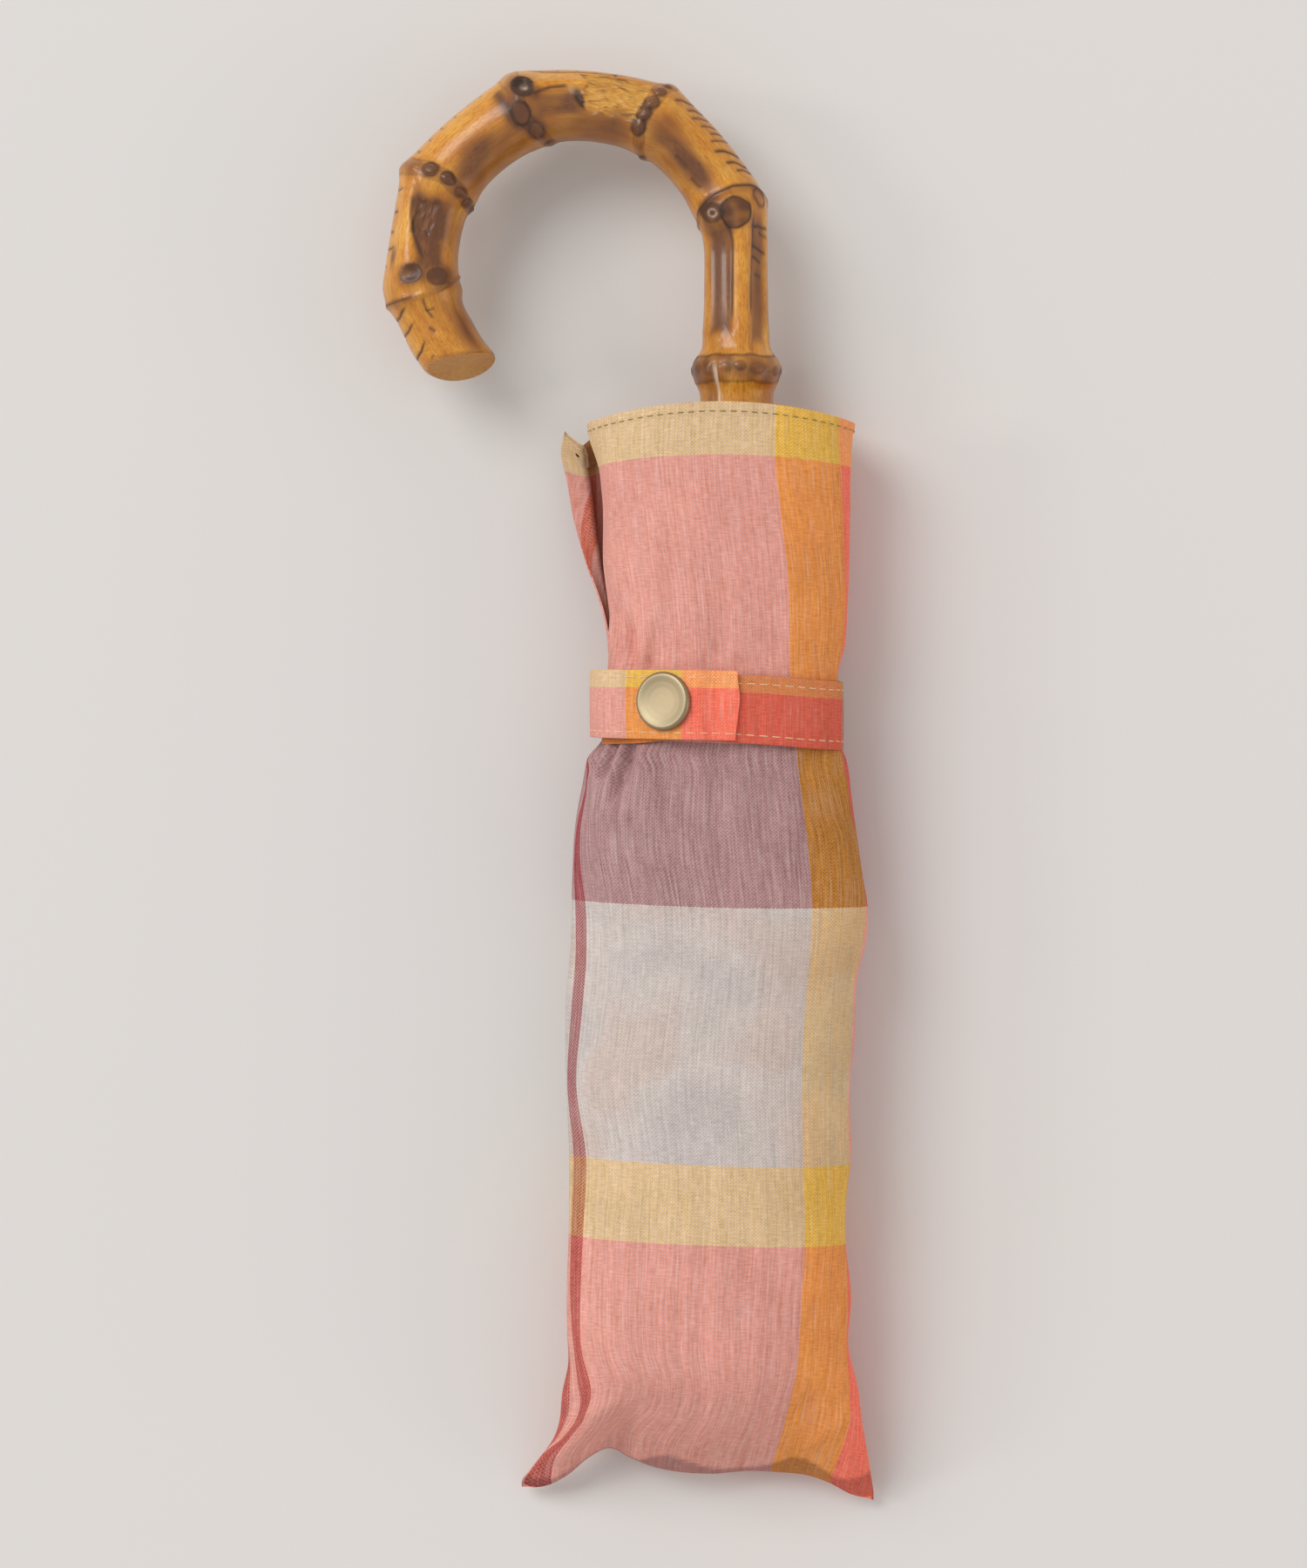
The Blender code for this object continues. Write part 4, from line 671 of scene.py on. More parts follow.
    return radius, 1 - (1 - burn) ** 1.8, 1 - (1 - dark) ** 1.4, pale, gleam


def wrappedShape(length, degrees):
    # both sides of the joint at the back agree
    here = caneShape(length, degrees)
    there = caneShape(length, degrees - 360)
    share = ease(135, 180, degrees)
    return [near * (1 - share) + far * share for near, far in zip(here, there)]


def placeCrook(across, along):
    look = bambooCrook
    total = look["leg"] + math.radians(look["sweep"]) * look["bend"]
    degrees = np.interp(across, *zip(*look["columnPlaces"]))
    reach = along * (total + look["endFace"])
    length = np.minimum(reach, total)
    # the last rings lean, so that the sawn end faces a little to the front
    lean = math.tan(math.radians(look["endTilt"])) * np.cos(np.radians(degrees))
    lean = lean + math.tan(math.radians(look["endSkew"])) * np.sin(np.radians(degrees))
    inward = np.maximum(reach - total, 0.0) / look["endFace"]
    shapeLength = length - look["skin"] * lean * ease(total - 12, total, length)
    radius, burn, dark, pale, gleam = wrappedShape(shapeLength, degrees)
    radius = radius - 0.45 * ease(total - 0.9, total, reach)
    x, y, angle = crookLine(shapeLength)
    # the sawn face itself: rings that close to a point, all in one leaning plane
    middleX, middleY = crookLine(np.full_like(length, total))[:2]
    turn = np.radians(degrees)
    outward = radius * np.sin(turn)
    rim = np.stack([x + outward * np.cos(angle), y + outward * np.sin(angle),
                    look["height"] + radius * np.cos(turn)], axis=-1)
    middle = np.stack([middleX, middleY, np.full_like(length, look["height"])], axis=-1)
    points = rim + (middle - rim) * inward[..., None]
    onFace = ease(0.0, 0.03, inward)
    placeCrook.colours = (
        burn * (1 - onFace) + onFace * (0.26 - 0.10 * inward),
        dark * (1 - onFace) + onFace * 0.05,
        pale * (1 - onFace) + onFace * 0.7,
        gleam * (1 - onFace),
    )
    return points, np.stack([reach, onSkin(degrees)], axis=-1)


def makeCrook():
    look = bambooCrook
    piece = bendGrid("bambooCrook", look["segments"], look["rings"], placeCrook, "cane")
    for name, values in zip(("burn", "dark", "pale", "gleam"), placeCrook.colours):
        paint(piece, name, values)
    mergeSeam(piece, 0.004)
    # close the foot, which stands in the collar
    onlySelected(piece)
    bpy.ops.object.mode_set(mode="EDIT")
    bpy.ops.mesh.select_all(action="DESELECT")
    bpy.ops.mesh.select_mode(type="EDGE")
    bpy.ops.mesh.select_non_manifold(extend=False, use_wire=False, use_boundary=True, use_multi_face=False,
                                     use_non_contiguous=False, use_verts=False)
    bpy.ops.mesh.edge_face_add()
    bpy.ops.object.mode_set(mode="OBJECT")
    smoothed(piece)
    dressed(piece, makeBamboo(), "lower_shaft", "bamboo", "bamboo_handle")
    print("crook made,", len(piece.data.polygons), "faces")


makeCrook()


# the sleeve: places in mm along the photo's up (y) and across (x), cloth measured down from the rim
sleeveCloth = {
    "columns": 192, "rows": 226, "wall": 0.5, "rimY": 141.5, "length": 276.0, "hemGap": 0.9,
    "square": 2.2,            # 2 is a plain oval
    "strapY": 64.0, "strapHalf": 9.5, "gatherFade": 17.0,
    "slitEnd": 62.0, "hemWidth": 3.0, "lipStart": 0.976,
    "mouthStart": 6.5,        # mm across the cloth at the slit's front edge
    "columnPlaces": ((0.0, 0.0), (0.66, 0.5), (0.91, 0.94), (1.0, 1.0)),
    "rowPlaces": ((0.0, 276.0), (0.19, 240.0), (0.47, 110.0), (0.71, 62.0), (0.93, 4.0), (1.0, -9.0)),
    "left": (
        (-137.7, -55.8), (-131.6, -51.3), (-125.3, -47.0), (-112.5, -44.8), (-106.0, -43.4), (-97.4, -43.6),
        (-86.6, -43.8), (-70.7, -43.4), (-51.8, -43.2), (-32.6, -43.8), (-10.1, -43.8), (-0.5, -42.8),
        (22.1, -42.3),
        (34.9, -41.4), (43.6, -40.1), (50.0, -38.4), (56.2, -34.5), (66.4, -34.0), (73.6, -33.2), (81.5, -32.9),
        (102.4, -34.9), (120.4, -36.7), (136.8, -38.2),
    ),
    "right": (
        (-140.8, 36.0), (-131.6, 34.4), (-123.1, 32.9), (-111.4, 31.3), (-101.7, 29.0), (-88.9, 29.7),
        (-73.8, 28.1),
        (-65.2, 28.1), (-51.8, 29.7), (-34.6, 29.2), (-21.8, 30.6), (-4.7, 31.5), (2.9, 33.5), (12.4, 34.0),
        (18.9, 32.9), (30.4, 31.3), (41.4, 29.7), (50.0, 28.2), (56.0, 26.2), (64.0, 26.0), (73.1, 26.3),
        (80.0, 27.8),
        (88.9, 28.6), (111.4, 29.2), (126.5, 29.5), (136.8, 30.2),
    ),
    "top": (
        (-134.6, 9.2), (-131.5, 13.2), (-125.0, 23.6), (-114.0, 34.6), (-91.0, 41.0), (-69.0, 42.0), (21.4, 41.8),
        (43.3, 41.4), (54.7, 40.4), (73.8, 40.4), (89.0, 41.0), (110.6, 41.6), (128.9, 41.4), (141.0, 40.8),
    ),
    "bottom": (
        (-134.6, 8.4), (-131.5, 5.4), (-125.0, 3.0), (-114.0, 1.0), (-91.0, -2.4), (-69.0, -2.6), (21.4, -2.6),
        (43.3, 0.4), (54.7, 2.2), (73.8, 2.2), (89.0, 0.6), (110.6, -2.6), (128.9, -2.6), (141.0, 1.0),
    ),
    # how far the cloth's rows hang below their middle, and how far they tilt
    "bow": ((0, 4.7), (12.5, 2.5), (40, 0.8), (66, 0.0), (276, 0.0)),
    "tilt": ((0, 0.0), (12.5, -0.2), (66, -2.0), (128, -1.8), (194, -2.5), (214, -2.5), (240, -1.0), (276, 0.0)),
    # the bottom seam, from the left corner to the right one
    "seamLine": (
        (-1.0, -4.8), (-0.931, -5.0), (-0.863, -4.4), (-0.725, -0.9), (-0.627, 2.9), (-0.48, 5.6), (-0.397, 3.6),
        (-0.26, 1.1), (-0.123, -0.2), (0.083, -0.9), (0.294, -0.2), (0.456, -0.5), (0.623, -1.4), (0.745, -3.4),
        (0.868, -6.6), (1.0, -8.2),
    ),
    "poke": ((0, 5.8), (7, 7.4), (16, 6.8), (28, 6.0), (40, 3.7), (50, 1.6), (58, 0.4), (62, 0.0), (276, 0.0)),
    # creases: both ends, half width and height
    "creases": (
        (-27.0, -112.0, -48.4, -128.3, 3.0, 1.5), (30.5, -116.5, 15.0, -131.0, 2.6, 1.2),
        (-41.0, -118.0, -30.0, -131.0, 2.2, -1.0), (24.0, -112.0, 10.0, -122.0, 3.0, -0.8),
        (-26.1, 57.0, -33.0, 36.0, 1.1, -2.6), (-30.0, 57.0, -36.0, 42.0, 0.9, -2.2),
        (-33.6, 57.0, -38.5, 44.0, 0.9, -1.8),
        (-23.2, 57.0, -28.0, 32.0, 1.8, 1.3), (-28.2, 57.0, -34.5, 40.0, 0.9, 1.0),
        (-31.9, 57.0, -37.2, 43.0, 0.8, 0.9),
        (-26.5, 70.0, -29.0, 90.0, 1.1, -2.0), (-30.0, 70.0, -31.5, 96.0, 1.1, -1.8),
        (-22.5, 70.0, -21.0, 86.0, 1.3, -1.2),
        (-28.2, 71.0, -30.2, 90.0, 1.2, 0.9), (-31.0, 24.0, -22.0, 12.0, 3.0, -0.9),
        (-36.0, 16.0, -26.0, 4.0, 2.6, 0.8),
        (-4.0, -2.0, 8.0, -12.0, 4.0, 0.6), (-18.0, -28.0, -2.0, -40.0, 5.0, 0.5),
        (18.0, 92.0, 6.0, 108.0, 4.0, 0.6),
    ),
    # how high the seam's turned-in edge, with its painted shade, reaches, by its place across
    "turnedIn": (
        (-56, 3.0), (-50, 2.0), (-30, 0.2), (-25, 0.8), (-22, 2.6), (-18, 4.2), (-12, 3.2), (-6, 1.7),
        (0, 1.1), (5, 1.4),
        (10, 2.6), (15, 4.8), (20, 3.9), (25, 2.4), (29, 3.2), (33, 5.0), (37, 7.5),
    ),
    # stripes of the check, by where their edges run
    "redLeft": (
        (-137.0, -57.5), (-131.0, -52.6), (-129.6, -50.4), (-123.1, -42.8), (-116.8, -40.3), (-108.2, -41.2),
        (-97.4, -42.1),
        (-86.6, -43.0), (-70.7, -43.0), (-51.8, -42.1), (-32.6, -43.4), (-21.8, -43.0), (-10.1, -42.1),
        (-0.5, -41.2),
        (12.4, -41.4), (22.1, -41.9), (34.9, -41.0), (53.1, -37.4),
    ),
    "redRight": (
        (-138.0, -48.4), (-131.5, -47.9), (-129.0, -46.6), (-121.0, -40.1), (-113.6, -37.8), (-101.7, -40.1),
        (-86.6, -40.5),
        (-70.7, -40.1), (-51.8, -39.1), (-32.6, -41.4), (-17.6, -40.3), (-0.5, -38.7), (13.5, -39.1), (22.1, -40.5),
        (34.9, -40.5), (53.1, -37.1),
    ),
    "yellowLeft": (
        (-134.6, 8.8), (-129.6, 9.8), (-118.8, 12.4), (-108.2, 14.6), (-90.0, 16.0), (-73.8, 16.8), (-51.8, 16.2),
        (-21.8, 16.4), (-4.7, 17.8), (13.5, 18.9), (27.4, 17.8), (55.4, 14.4), (74.0, 13.1), (96.5, 12.4),
        (113.6, 10.6), (128.9, 9.2), (141.1, 9.5),
    ),
    "yellowRight": (
        (-135.0, 24.8), (-125.3, 27.4), (-115.9, 29.2), (-108.2, 28.6), (-90.0, 28.6), (-73.8, 28.0), (-51.8, 28.8),
        (-36.7, 28.8), (-17.6, 29.7), (-4.7, 31.1), (13.5, 33.3), (40.3, 29.0), (53.3, 26.4), (74.0, 26.2),
        (88.7, 27.7), (105.3, 27.2), (126.5, 26.3), (141.1, 25.2),
    ),
}


def signedPower(value, power):
    return np.sign(value) * np.abs(value) ** power


def ovalPoint(edges, degrees):
    # a point on a squarish oval, and the way out of it there
    square = sleeveCloth["square"]
    left, right, bottom, top = edges
    turn = np.radians(degrees)
    x = (left + right) / 2 + (right - left) / 2 * signedPower(np.cos(turn), 2 / square)
    z = (bottom + top) / 2 + (top - bottom) / 2 * signedPower(np.sin(turn), 2 / square)
    outX = signedPower(np.cos(turn), 2 - 2 / square) / (right - left)
    outZ = signedPower(np.sin(turn), 2 - 2 / square) / (top - bottom)
    size = np.hypot(outX, outZ)
    return x, z, outX / size, outZ / size


def rowHeight(look, depth, q):
    # y of a cloth row that lies depth below the rim, at q from the left edge (-1) to the right one (1)
    fade = np.clip((depth - 235) / 41, 0, 1) ** 1.6
    return (look["rimY"] - depth - track(look["bow"])(depth) * q ** 2 + track(look["tilt"])(depth) * q / 2
            + track(look["seamLine"])(q) * fade)


def sleeveWaves(look, x, y):
    # soft folds: gathered by the strap, low waves further off, creases by the corners
    beyond = np.maximum(np.abs(y - look["strapY"]) - look["strapHalf"], 0.0)
    near = ease(0.0, 5.0, beyond) * np.exp(-beyond / look["gatherFade"])
    pull = 0.55 + 0.55 * ease(5.0, -30.0, x)
    fan = x * (1 + 0.004 * beyond)
    waves = near * pull * (0.95 * np.sin(fan * 0.50 + 0.7) + 0.6 * np.sin(fan * 0.83 + 2.1))
    free = ease(6.0, 40.0, beyond)
    waves = waves + free * (0.40 * ripple(x * 0.075, y * 0.030, 21) + 0.22 * ripple(x * 0.03, y * 0.11, 22))
    flat = ease(0.0, 30.0, y + 135.0)
    waves = waves * (0.35 + 0.65 * flat)
    for startX, startY, endX, endY, half, height in look["creases"]:
        off, share = besideLine(x, y, startX, startY, endX, endY)
        taper = ease(0.0, 0.25, share) * ease(1.0, 0.6, share)
        waves = waves + height * taper * np.exp(-(off / half) ** 2)
    return waves


def placeSleeve(across, along):
    look = sleeveCloth
    # rows and columns lie closer where the cloth folds
    across = np.interp(across, *zip(*look["columnPlaces"]))
    cloth = np.interp(along, *zip(*look["rowPlaces"]))
    depth = np.abs(cloth)
    turn = np.pi * (1 - 2 * across)
    q = signedPower(np.cos(turn), 2 / look["square"])
    middleY = look["rimY"] - depth
    edges = (
        track(look["left"])(rowHeight(look, depth, -np.ones_like(q))),
        track(look["right"])(rowHeight(look, depth, np.ones_like(q))),
        track(look["bottom"])(middleY),
        track(look["top"])(middleY),
    )
    x, z, outX, outZ = ovalPoint(edges, np.degrees(turn))
    y = rowHeight(look, depth, q)
    # across the cloth: arc length along the smooth section
    arc = arcAcross(x, z)
    plainX = x
    front = ease(-0.1, 0.25, np.sin(turn))
    step = sleeveWaves(look, x, y) * (0.25 + 0.75 * front)
    # the bottom seam is sewn shut
    step = step * ease(0.0, 5.0, look["length"] - depth)
    # hems: a double layer at the rim and down both edges of the slit
    slit = ease(look["slitEnd"] + 4.0, look["slitEnd"], depth)
    edgeBand = np.maximum(ease(0.024, 0.019, across), ease(0.977, 0.981, across)) * slit
    step = step + 0.34 * np.maximum(ease(look["hemWidth"], look["hemWidth"] - 0.6, depth), edgeBand)
    step = step - look["hemGap"] * ease(0.0, 1.6, -cloth)
    x = x + outX * step
    z = z + outZ * step
    # the back edge of the slit stands out past the front edge
    poke = track(look["poke"])(depth)
    back = ease(0.86, 1.0, across)
    lip = np.clip((across - look["lipStart"]) / (1 - look["lipStart"]), 0.0, 1.0)
    x = x - poke * (0.28 * back + 0.72 * lip)
    z = z - 0.9 * poke * back
    # and its hem lies flat
    bend = int(np.searchsorted(across[0], look["lipStart"]))
    flatness = np.minimum(poke / 5.0, 1.0) * (lip > 0)
    z = z + (z[:, bend:bend + 1] + 0.4 * lip - z) * 0.95 * flatness
    y = y - ease(24.0, 0.0, depth) * slit * (5.6 * back - 4.2 * lip)
    # the front edge draws back and lies on the bundle
    drawn = (0.8 + 1.2 * ease(42.0, 22.0, depth)) * ease(2.0, 16.0, depth) * ease(62.0, 54.0, depth)
    x = x + drawn * ease(0.10, 0.0, across)
    z = z + 0.8 * slit * ease(0.08, 0.0, across) * ease(0.0, 20.0, depth)
    # the seam's edge waves a little
    z = z + 1.1 * ease(-118.0, -135.0, middleY) * ripple(x * 0.10, y * 0.0, 31)
    # and its corners hang
    z = z - 5.0 * ease(-122.0, -136.0, middleY) * ease(0.70, 1.0, np.abs(q))
    z = np.maximum(z, 0.3 + look["hemGap"] * ease(0.0, 1.6, -cloth))
    points = np.stack([x, y, z], axis=-1)
    # the map is pulled so that the stripes run where they do in the photo
    half = int(np.searchsorted(across[0], 0.5)) + 1
    stripes = np.empty((x.shape[0], 4))
    for row in range(x.shape[0]):
        for part, name in enumerate(("redLeft", "redRight", "yellowLeft", "yellowRight")):
            place = float(np.interp(track(look[name])(middleY[row, 0]), plainX[row, :half], y[row, :half]))
            spot = float(track(look[name])(place))
            stripes[row, part] = np.interp(spot, plainX[row, :half], arc[row, :half])
    # threads run smoothly from row to row
    for reach, parts in ((2, slice(0, 3)), (5, slice(3, 4))):
        padded = np.pad(stripes[:, parts], ((reach, reach), (0, 0)), mode="edge")
        stripes[:, parts] = sum(padded[shift:shift + x.shape[0]] for shift in range(2 * reach + 1)) / (2 * reach + 1)
    places = checkedCotton["frontStripes"]
    mapU = np.empty_like(x)
    for row in range(x.shape[0]):
        marks = [float(stripe) for stripe in stripes[row]]
        if depth[row, 0] < 80:
            knots, values = [0.0, *marks[2:]], [look["mouthStart"], *places[2:]]
        else:
            marks[0] = max(marks[0], 0.4)
            marks[1] = max(marks[1], marks[0] + 0.6)
            # near the bottom the edge rolls forward and shows the next stripe, up to the corner itself
            low = middleY[row, 0]
            start = -2.8 * float(ease(-96.0, -112.0, low)) + 4.8 * float(ease(-124.0, -131.0, low))
            knots, values = [0.0, *marks], [start, *places]
        knots.append(arc[row, -1])
        values.append(places[3] + arc[row, -1] - marks[3])
        mapU[row] = np.interp(arc[row], knots, values)
    # the edge that is turned in at the bottom seam, with painted shade on it, and the painted shade inside the slit
    over = look["length"] - cloth
    reach = track(look["turnedIn"])(x)
    band = ease(reach + 0.5, reach - 0.5, over) * ease(-0.3, 0.0, np.sin(turn))
    strength = 0.75 + 0.10 * ease(-46.0, -32.0, x) - 0.12 * ease(27.0, 31.0, x)
    placeSleeve.turnedIn = strength * band
    placeSleeve.inside = 0.65 * slit * ease(0.86, 0.90, across) * ease(0.980, 0.974, across)
    placeSleeve.grid = points
    return points, np.stack([mapU, cloth], axis=-1)


cottonCloth = makeCotton("checkedCotton")


def makeSleeve():
    look = sleeveCloth
    piece = bendGrid("sleeveCloth", look["columns"], look["rows"], placeSleeve, "cloth")
    paint(piece, "turnedIn", placeSleeve.turnedIn)
    paint(piece, "inside", placeSleeve.inside)
    mergeSeam(piece, 0.05)
    applied(piece, "SOLIDIFY", thickness=look["wall"] * mm, offset=-1.0)
    smoothed(piece, 70)
    dressed(piece, cottonCloth, "sleeve", "cotton", "sleeve")
    print("sleeve made,", len(piece.data.polygons), "faces")
    return piece


sleeve = makeSleeve()


# the press snap's cap: a dished disc with a rolled rim, seated on the flap
snapCap = {
    "x": -18.3, "midY": 64.9, "seat": 1.05, "lean": 12.0, "flapSlope": 16.0, "nod": 0.06, "segments": 64, "rings": 40,
    "profile": ((0.0, 0.0), (0.05, 7.3), (0.10, 7.5), (0.15, 7.5), (0.20, 7.42), (0.25, 7.22), (0.30, 6.95),
                (0.35, 6.65), (0.40, 6.35), (0.45, 6.0), (0.55, 5.0), (0.70, 3.5), (0.85, 1.75), (1.0, 0.0)),
    "heights": ((0.0, -0.5), (0.05, -0.6), (0.10, -0.3), (0.15, 0.60), (0.20, 0.95), (0.25, 1.22), (0.30, 1.38),
                (0.35, 1.44), (0.40, 1.42), (0.45, 1.37), (0.55, 1.22), (0.70, 1.07), (0.85, 0.99), (1.0, 0.97)),
}


# the strap: a lower layer round the right side and the back, and a flap from the left over the front
strapBand = {
    "wall": 0.85,
    "clothFrom": 9.1,         # mm along the cloth where the strap was cut from it
    "under": {
        "edges": (-34.8, 26.7, 1.5, 41.8), "from": 165.0, "to": -164.0, "columns": 150, "rows": 16, "shade": 0.45,
        "lowY": 54.1, "width": 17.6, "stripeX": -17.3,
    },
    "flap": {
        "edges": (-36.9, 27.9, 0.3, 44.3), "from": 200.0, "to": 83.5, "columns": 90, "rows": 20, "shade": 0.0,
        "lowY": 56.25, "topY": 73.6, "stripeX": -28.6,
    },
}


def placeUnder(across, along):
    look = strapBand["under"]
    degrees = look["from"] + (look["to"] - look["from"]) * across
    x, z, outX, outZ = ovalPoint(look["edges"], degrees)
    y = look["lowY"] + look["width"] * along - 1.5 * ease(0.0, 27.0, x) * ease(-60.0, 10.0, degrees)
    # its lower edge shows below the flap on the left only
    y = y + 1.6 * np.exp(-((x + 12.0) / 9.0) ** 2) * (1 - along) * (z > 20.0)
    # puffed between the rows of stitches
    lift = strapBand["wall"] + 0.12 * np.sin(np.pi * along) ** 0.5 + 0.10 * ripple(degrees * 0.09, along * 2.0, 41)
    x = x + outX * lift
    z = np.maximum(z + outZ * lift, 0.9)
    arc = arcAcross(x, z)
    start = np.interp(look["stripeX"], x[0, :60], arc[0, :60])
    placeUnder.grid = np.stack([x, y, z], axis=-1)
    placeUnder.out = np.stack([outX, 0 * outX, outZ], axis=-1)
    reach = (arc - start) * np.where(arc < start, 0.72, 1.0)
    mapU = checkedCotton["frontStripes"][3] + reach
    return placeUnder.grid, np.stack([mapU, strapBand["clothFrom"] + look["width"] * (1 - along)], axis=-1)


def placeFlap(across, along):
    look = strapBand["flap"]
    degrees = look["from"] + (look["to"] - look["from"]) * across
    # the free end isn't cut quite straight
    degrees = degrees - across ** 12 * (1.0 * np.exp(-((along - 0.60) / 0.22) ** 2) - 0.9 * ease(0.3, 0.0, along))
    x, z, outX, outZ = ovalPoint(look["edges"], degrees)
    top = look["topY"] - 0.9 * across
    low = look["lowY"] - 1.35 * across
    y = low + (top - low) * along
    lift = strapBand["wall"] + 0.14 * np.sin(np.pi * along) ** 0.5 + 0.12 * ripple(degrees * 0.10, along * 2.4, 43)
    # the snap presses it down on its left and lifts it on its right
    aside = (x - snapCap["x"]) / math.cos(math.radians(snapCap["flapSlope"]))
    lift = lift + math.tan(math.radians(snapCap["lean"])) * aside * np.exp(-(aside / 10.5) ** 6)
    # the free end lies a little lower, pressed to the layer below, and the other end is sewn to it
    lift = lift - 0.9 * ease(0.80, 1.0, across) - 1.5 * ease(0.12, 0.0, across)
    x = x + outX * lift
    z = z + outZ * lift
    arc = arcAcross(x, z)
    start = np.interp(look["stripeX"], x[0], arc[0])
    placeFlap.grid = np.stack([x, y, z], axis=-1)
    placeFlap.out = np.stack([outX, 0 * outX, outZ], axis=-1)
    mapU = checkedCotton["frontStripes"][2] + arc - start
    return placeFlap.grid, np.stack([mapU, strapBand["clothFrom"] + (top - y)], axis=-1)


def makeStrap(name, place, look, body, node):
    piece = bendGrid(name, look["columns"], look["rows"], place, "cloth")
    # painted shade: the lower layer is darkened by its shade value where the flap shades it
    paint(piece, "inside", np.full(len(piece.data.vertices), look["shade"]))
    applied(piece, "SOLIDIFY", thickness=strapBand["wall"] * mm, offset=-1.0)
    applied(piece, "BEVEL", width=0.2 * mm, segments=2, limit_method="ANGLE", angle_limit=math.radians(50))
    smoothed(piece, 60)
    return dressed(piece, cottonCloth, body, "cotton", node)


strapUnder = makeStrap("strapUnder", placeUnder, strapBand["under"], "sleeve", "strap_under")
strapFlap = makeStrap("strapFlap", placeFlap, strapBand["flap"], "strap_flap", "strap_flap")
print("strap made")


# satin brass: pale gold plating, brushed so lightly that it only softens the light
def makeBrass():
    made, tree, shader = startMaterial("satinBrass")
    spot = addNode(tree, "TexCoord", {})
    cloud = addNode(tree, "TexNoise", {"Scale": 6000.0, "Detail": 2.0, "Vector": spot.outputs["Object"]})
    stops = [(0.35, "#9A8C70"), (0.65, "#A4967A")]
    base = addNode(tree, "ValToRGB", {"stops": stops, "Fac": cloud})
    rough = addNode(tree, "MapRange", {"To Min": 0.38, "To Max": 0.46, "Value": cloud})
    fill(tree, shader, {"Base Color": base, "Roughness": rough, "Metallic": 1.0})
    return made


# plated steel: grey, drawn lengthwise, so the gleam runs in fine lines along each bar
def makeSteel():
    made, tree, shader = startMaterial("platedSteel")
    spot = addNode(tree, "TexCoord", {})
    drawn = addNode(tree, "VectorMath", {"operation": "MULTIPLY", 0: spot.outputs["Object"],
                                         1: (2500.0, 40.0, 2500.0)})
    line = addNode(tree, "TexNoise", {"Scale": 1.0, "Detail": 2.0, "Vector": drawn})
    stops = [(0.3, "#B4B5B8"), (0.7, "#D2D3D4")]
    base = addNode(tree, "ValToRGB", {"stops": stops, "Fac": line})
    rough = addNode(tree, "MapRange", {"To Min": 0.26, "To Max": 0.42, "Value": line})
    fill(tree, shader, {"Base Color": base, "Roughness": rough, "Metallic": 1.0})
    return made


# moulded nylon: an even colour with the faint grain of the mould
def makeNylon(name, code, roughness):
    made, tree, shader = startMaterial(name)
    spot = addNode(tree, "TexCoord", {})
    grain = addNode(tree, "TexNoise", {"Scale": 3000.0, "Detail": 1.0, "Vector": spot.outputs["Object"]})
    shade = addNode(tree, "MapRange", {"To Min": 0.9, "To Max": 1.1, "Value": grain})
    base = addNode(tree, "VectorMath", {"operation": "SCALE", 0: linear(code)[:3], "Scale": shade})
    bump = addNode(tree, "Bump", {"Strength": 0.15, "Distance": 0.00005, "Height": grain})
    fill(tree, shader, {"Base Color": base, "Normal": bump, "Roughness": roughness})
    return made


satinBrass = makeBrass()
platedSteel = makeSteel()
blackNylon = makeNylon("blackMouldedNylon", "#26262A", 0.5)
ivoryNylon = makeNylon("ivoryMouldedNylon", "#E2DCCB", 0.4)


def frontDegrees(edges, x):
    # where on the oval's front a place across it lies
    across = (2 * x - edges[0] - edges[1]) / (edges[1] - edges[0])
    return 90 - math.degrees(math.asin(signedPower(across, sleeveCloth["square"] / 2)))


def placeSnap(across, along):
    look = snapCap
    edges = strapBand["flap"]["edges"]
    x, z, outX, outZ = (float(part) for part in ovalPoint(edges, np.array(frontDegrees(edges, look["x"]))))
    # it leans to the left, as the flap is drawn tight there
    lean = math.radians(look["lean"])
    outX, outZ = outX * math.cos(lean) - outZ * math.sin(lean), outZ * math.cos(lean) + outX * math.sin(lean)
    turn = 2 * np.pi * across
    radius = np.interp(along, *zip(*look["profile"]))
    height = look["seat"] + np.interp(along, *zip(*look["heights"]))
    sideX, sideY = radius * np.cos(turn), radius * np.sin(turn)
    points = np.stack([x + sideX * outZ + height * outX, look["midY"] + sideY + look["nod"] * height,
                       z - sideX * outX + height * outZ - look["nod"] * sideY], axis=-1)
    return points, np.stack([turn, along], axis=-1)


def makeSnap():
    piece = bendGrid("snapCapDish", snapCap["segments"], snapCap["rings"], placeSnap, "disc")
    mergeSeam(piece)
    smoothed(piece, 40)
    return dressed(piece, satinBrass, "strap_flap", "brass", "snap_cap")


makeSnap()
print("snap made")


# sewing: one small stitch, repeated along a line
# each row: pitch, length of a stitch and its height over the cloth, in mm
sewing = {"width": 0.17, "height": 0.12, "strapRow": (3.4, 2.4, 0.04), "rimRow": (2.7, 1.7, 0.03), "rimDepth": 2.8,
          "edgeRows": 2, "rimEnd": 0.95}


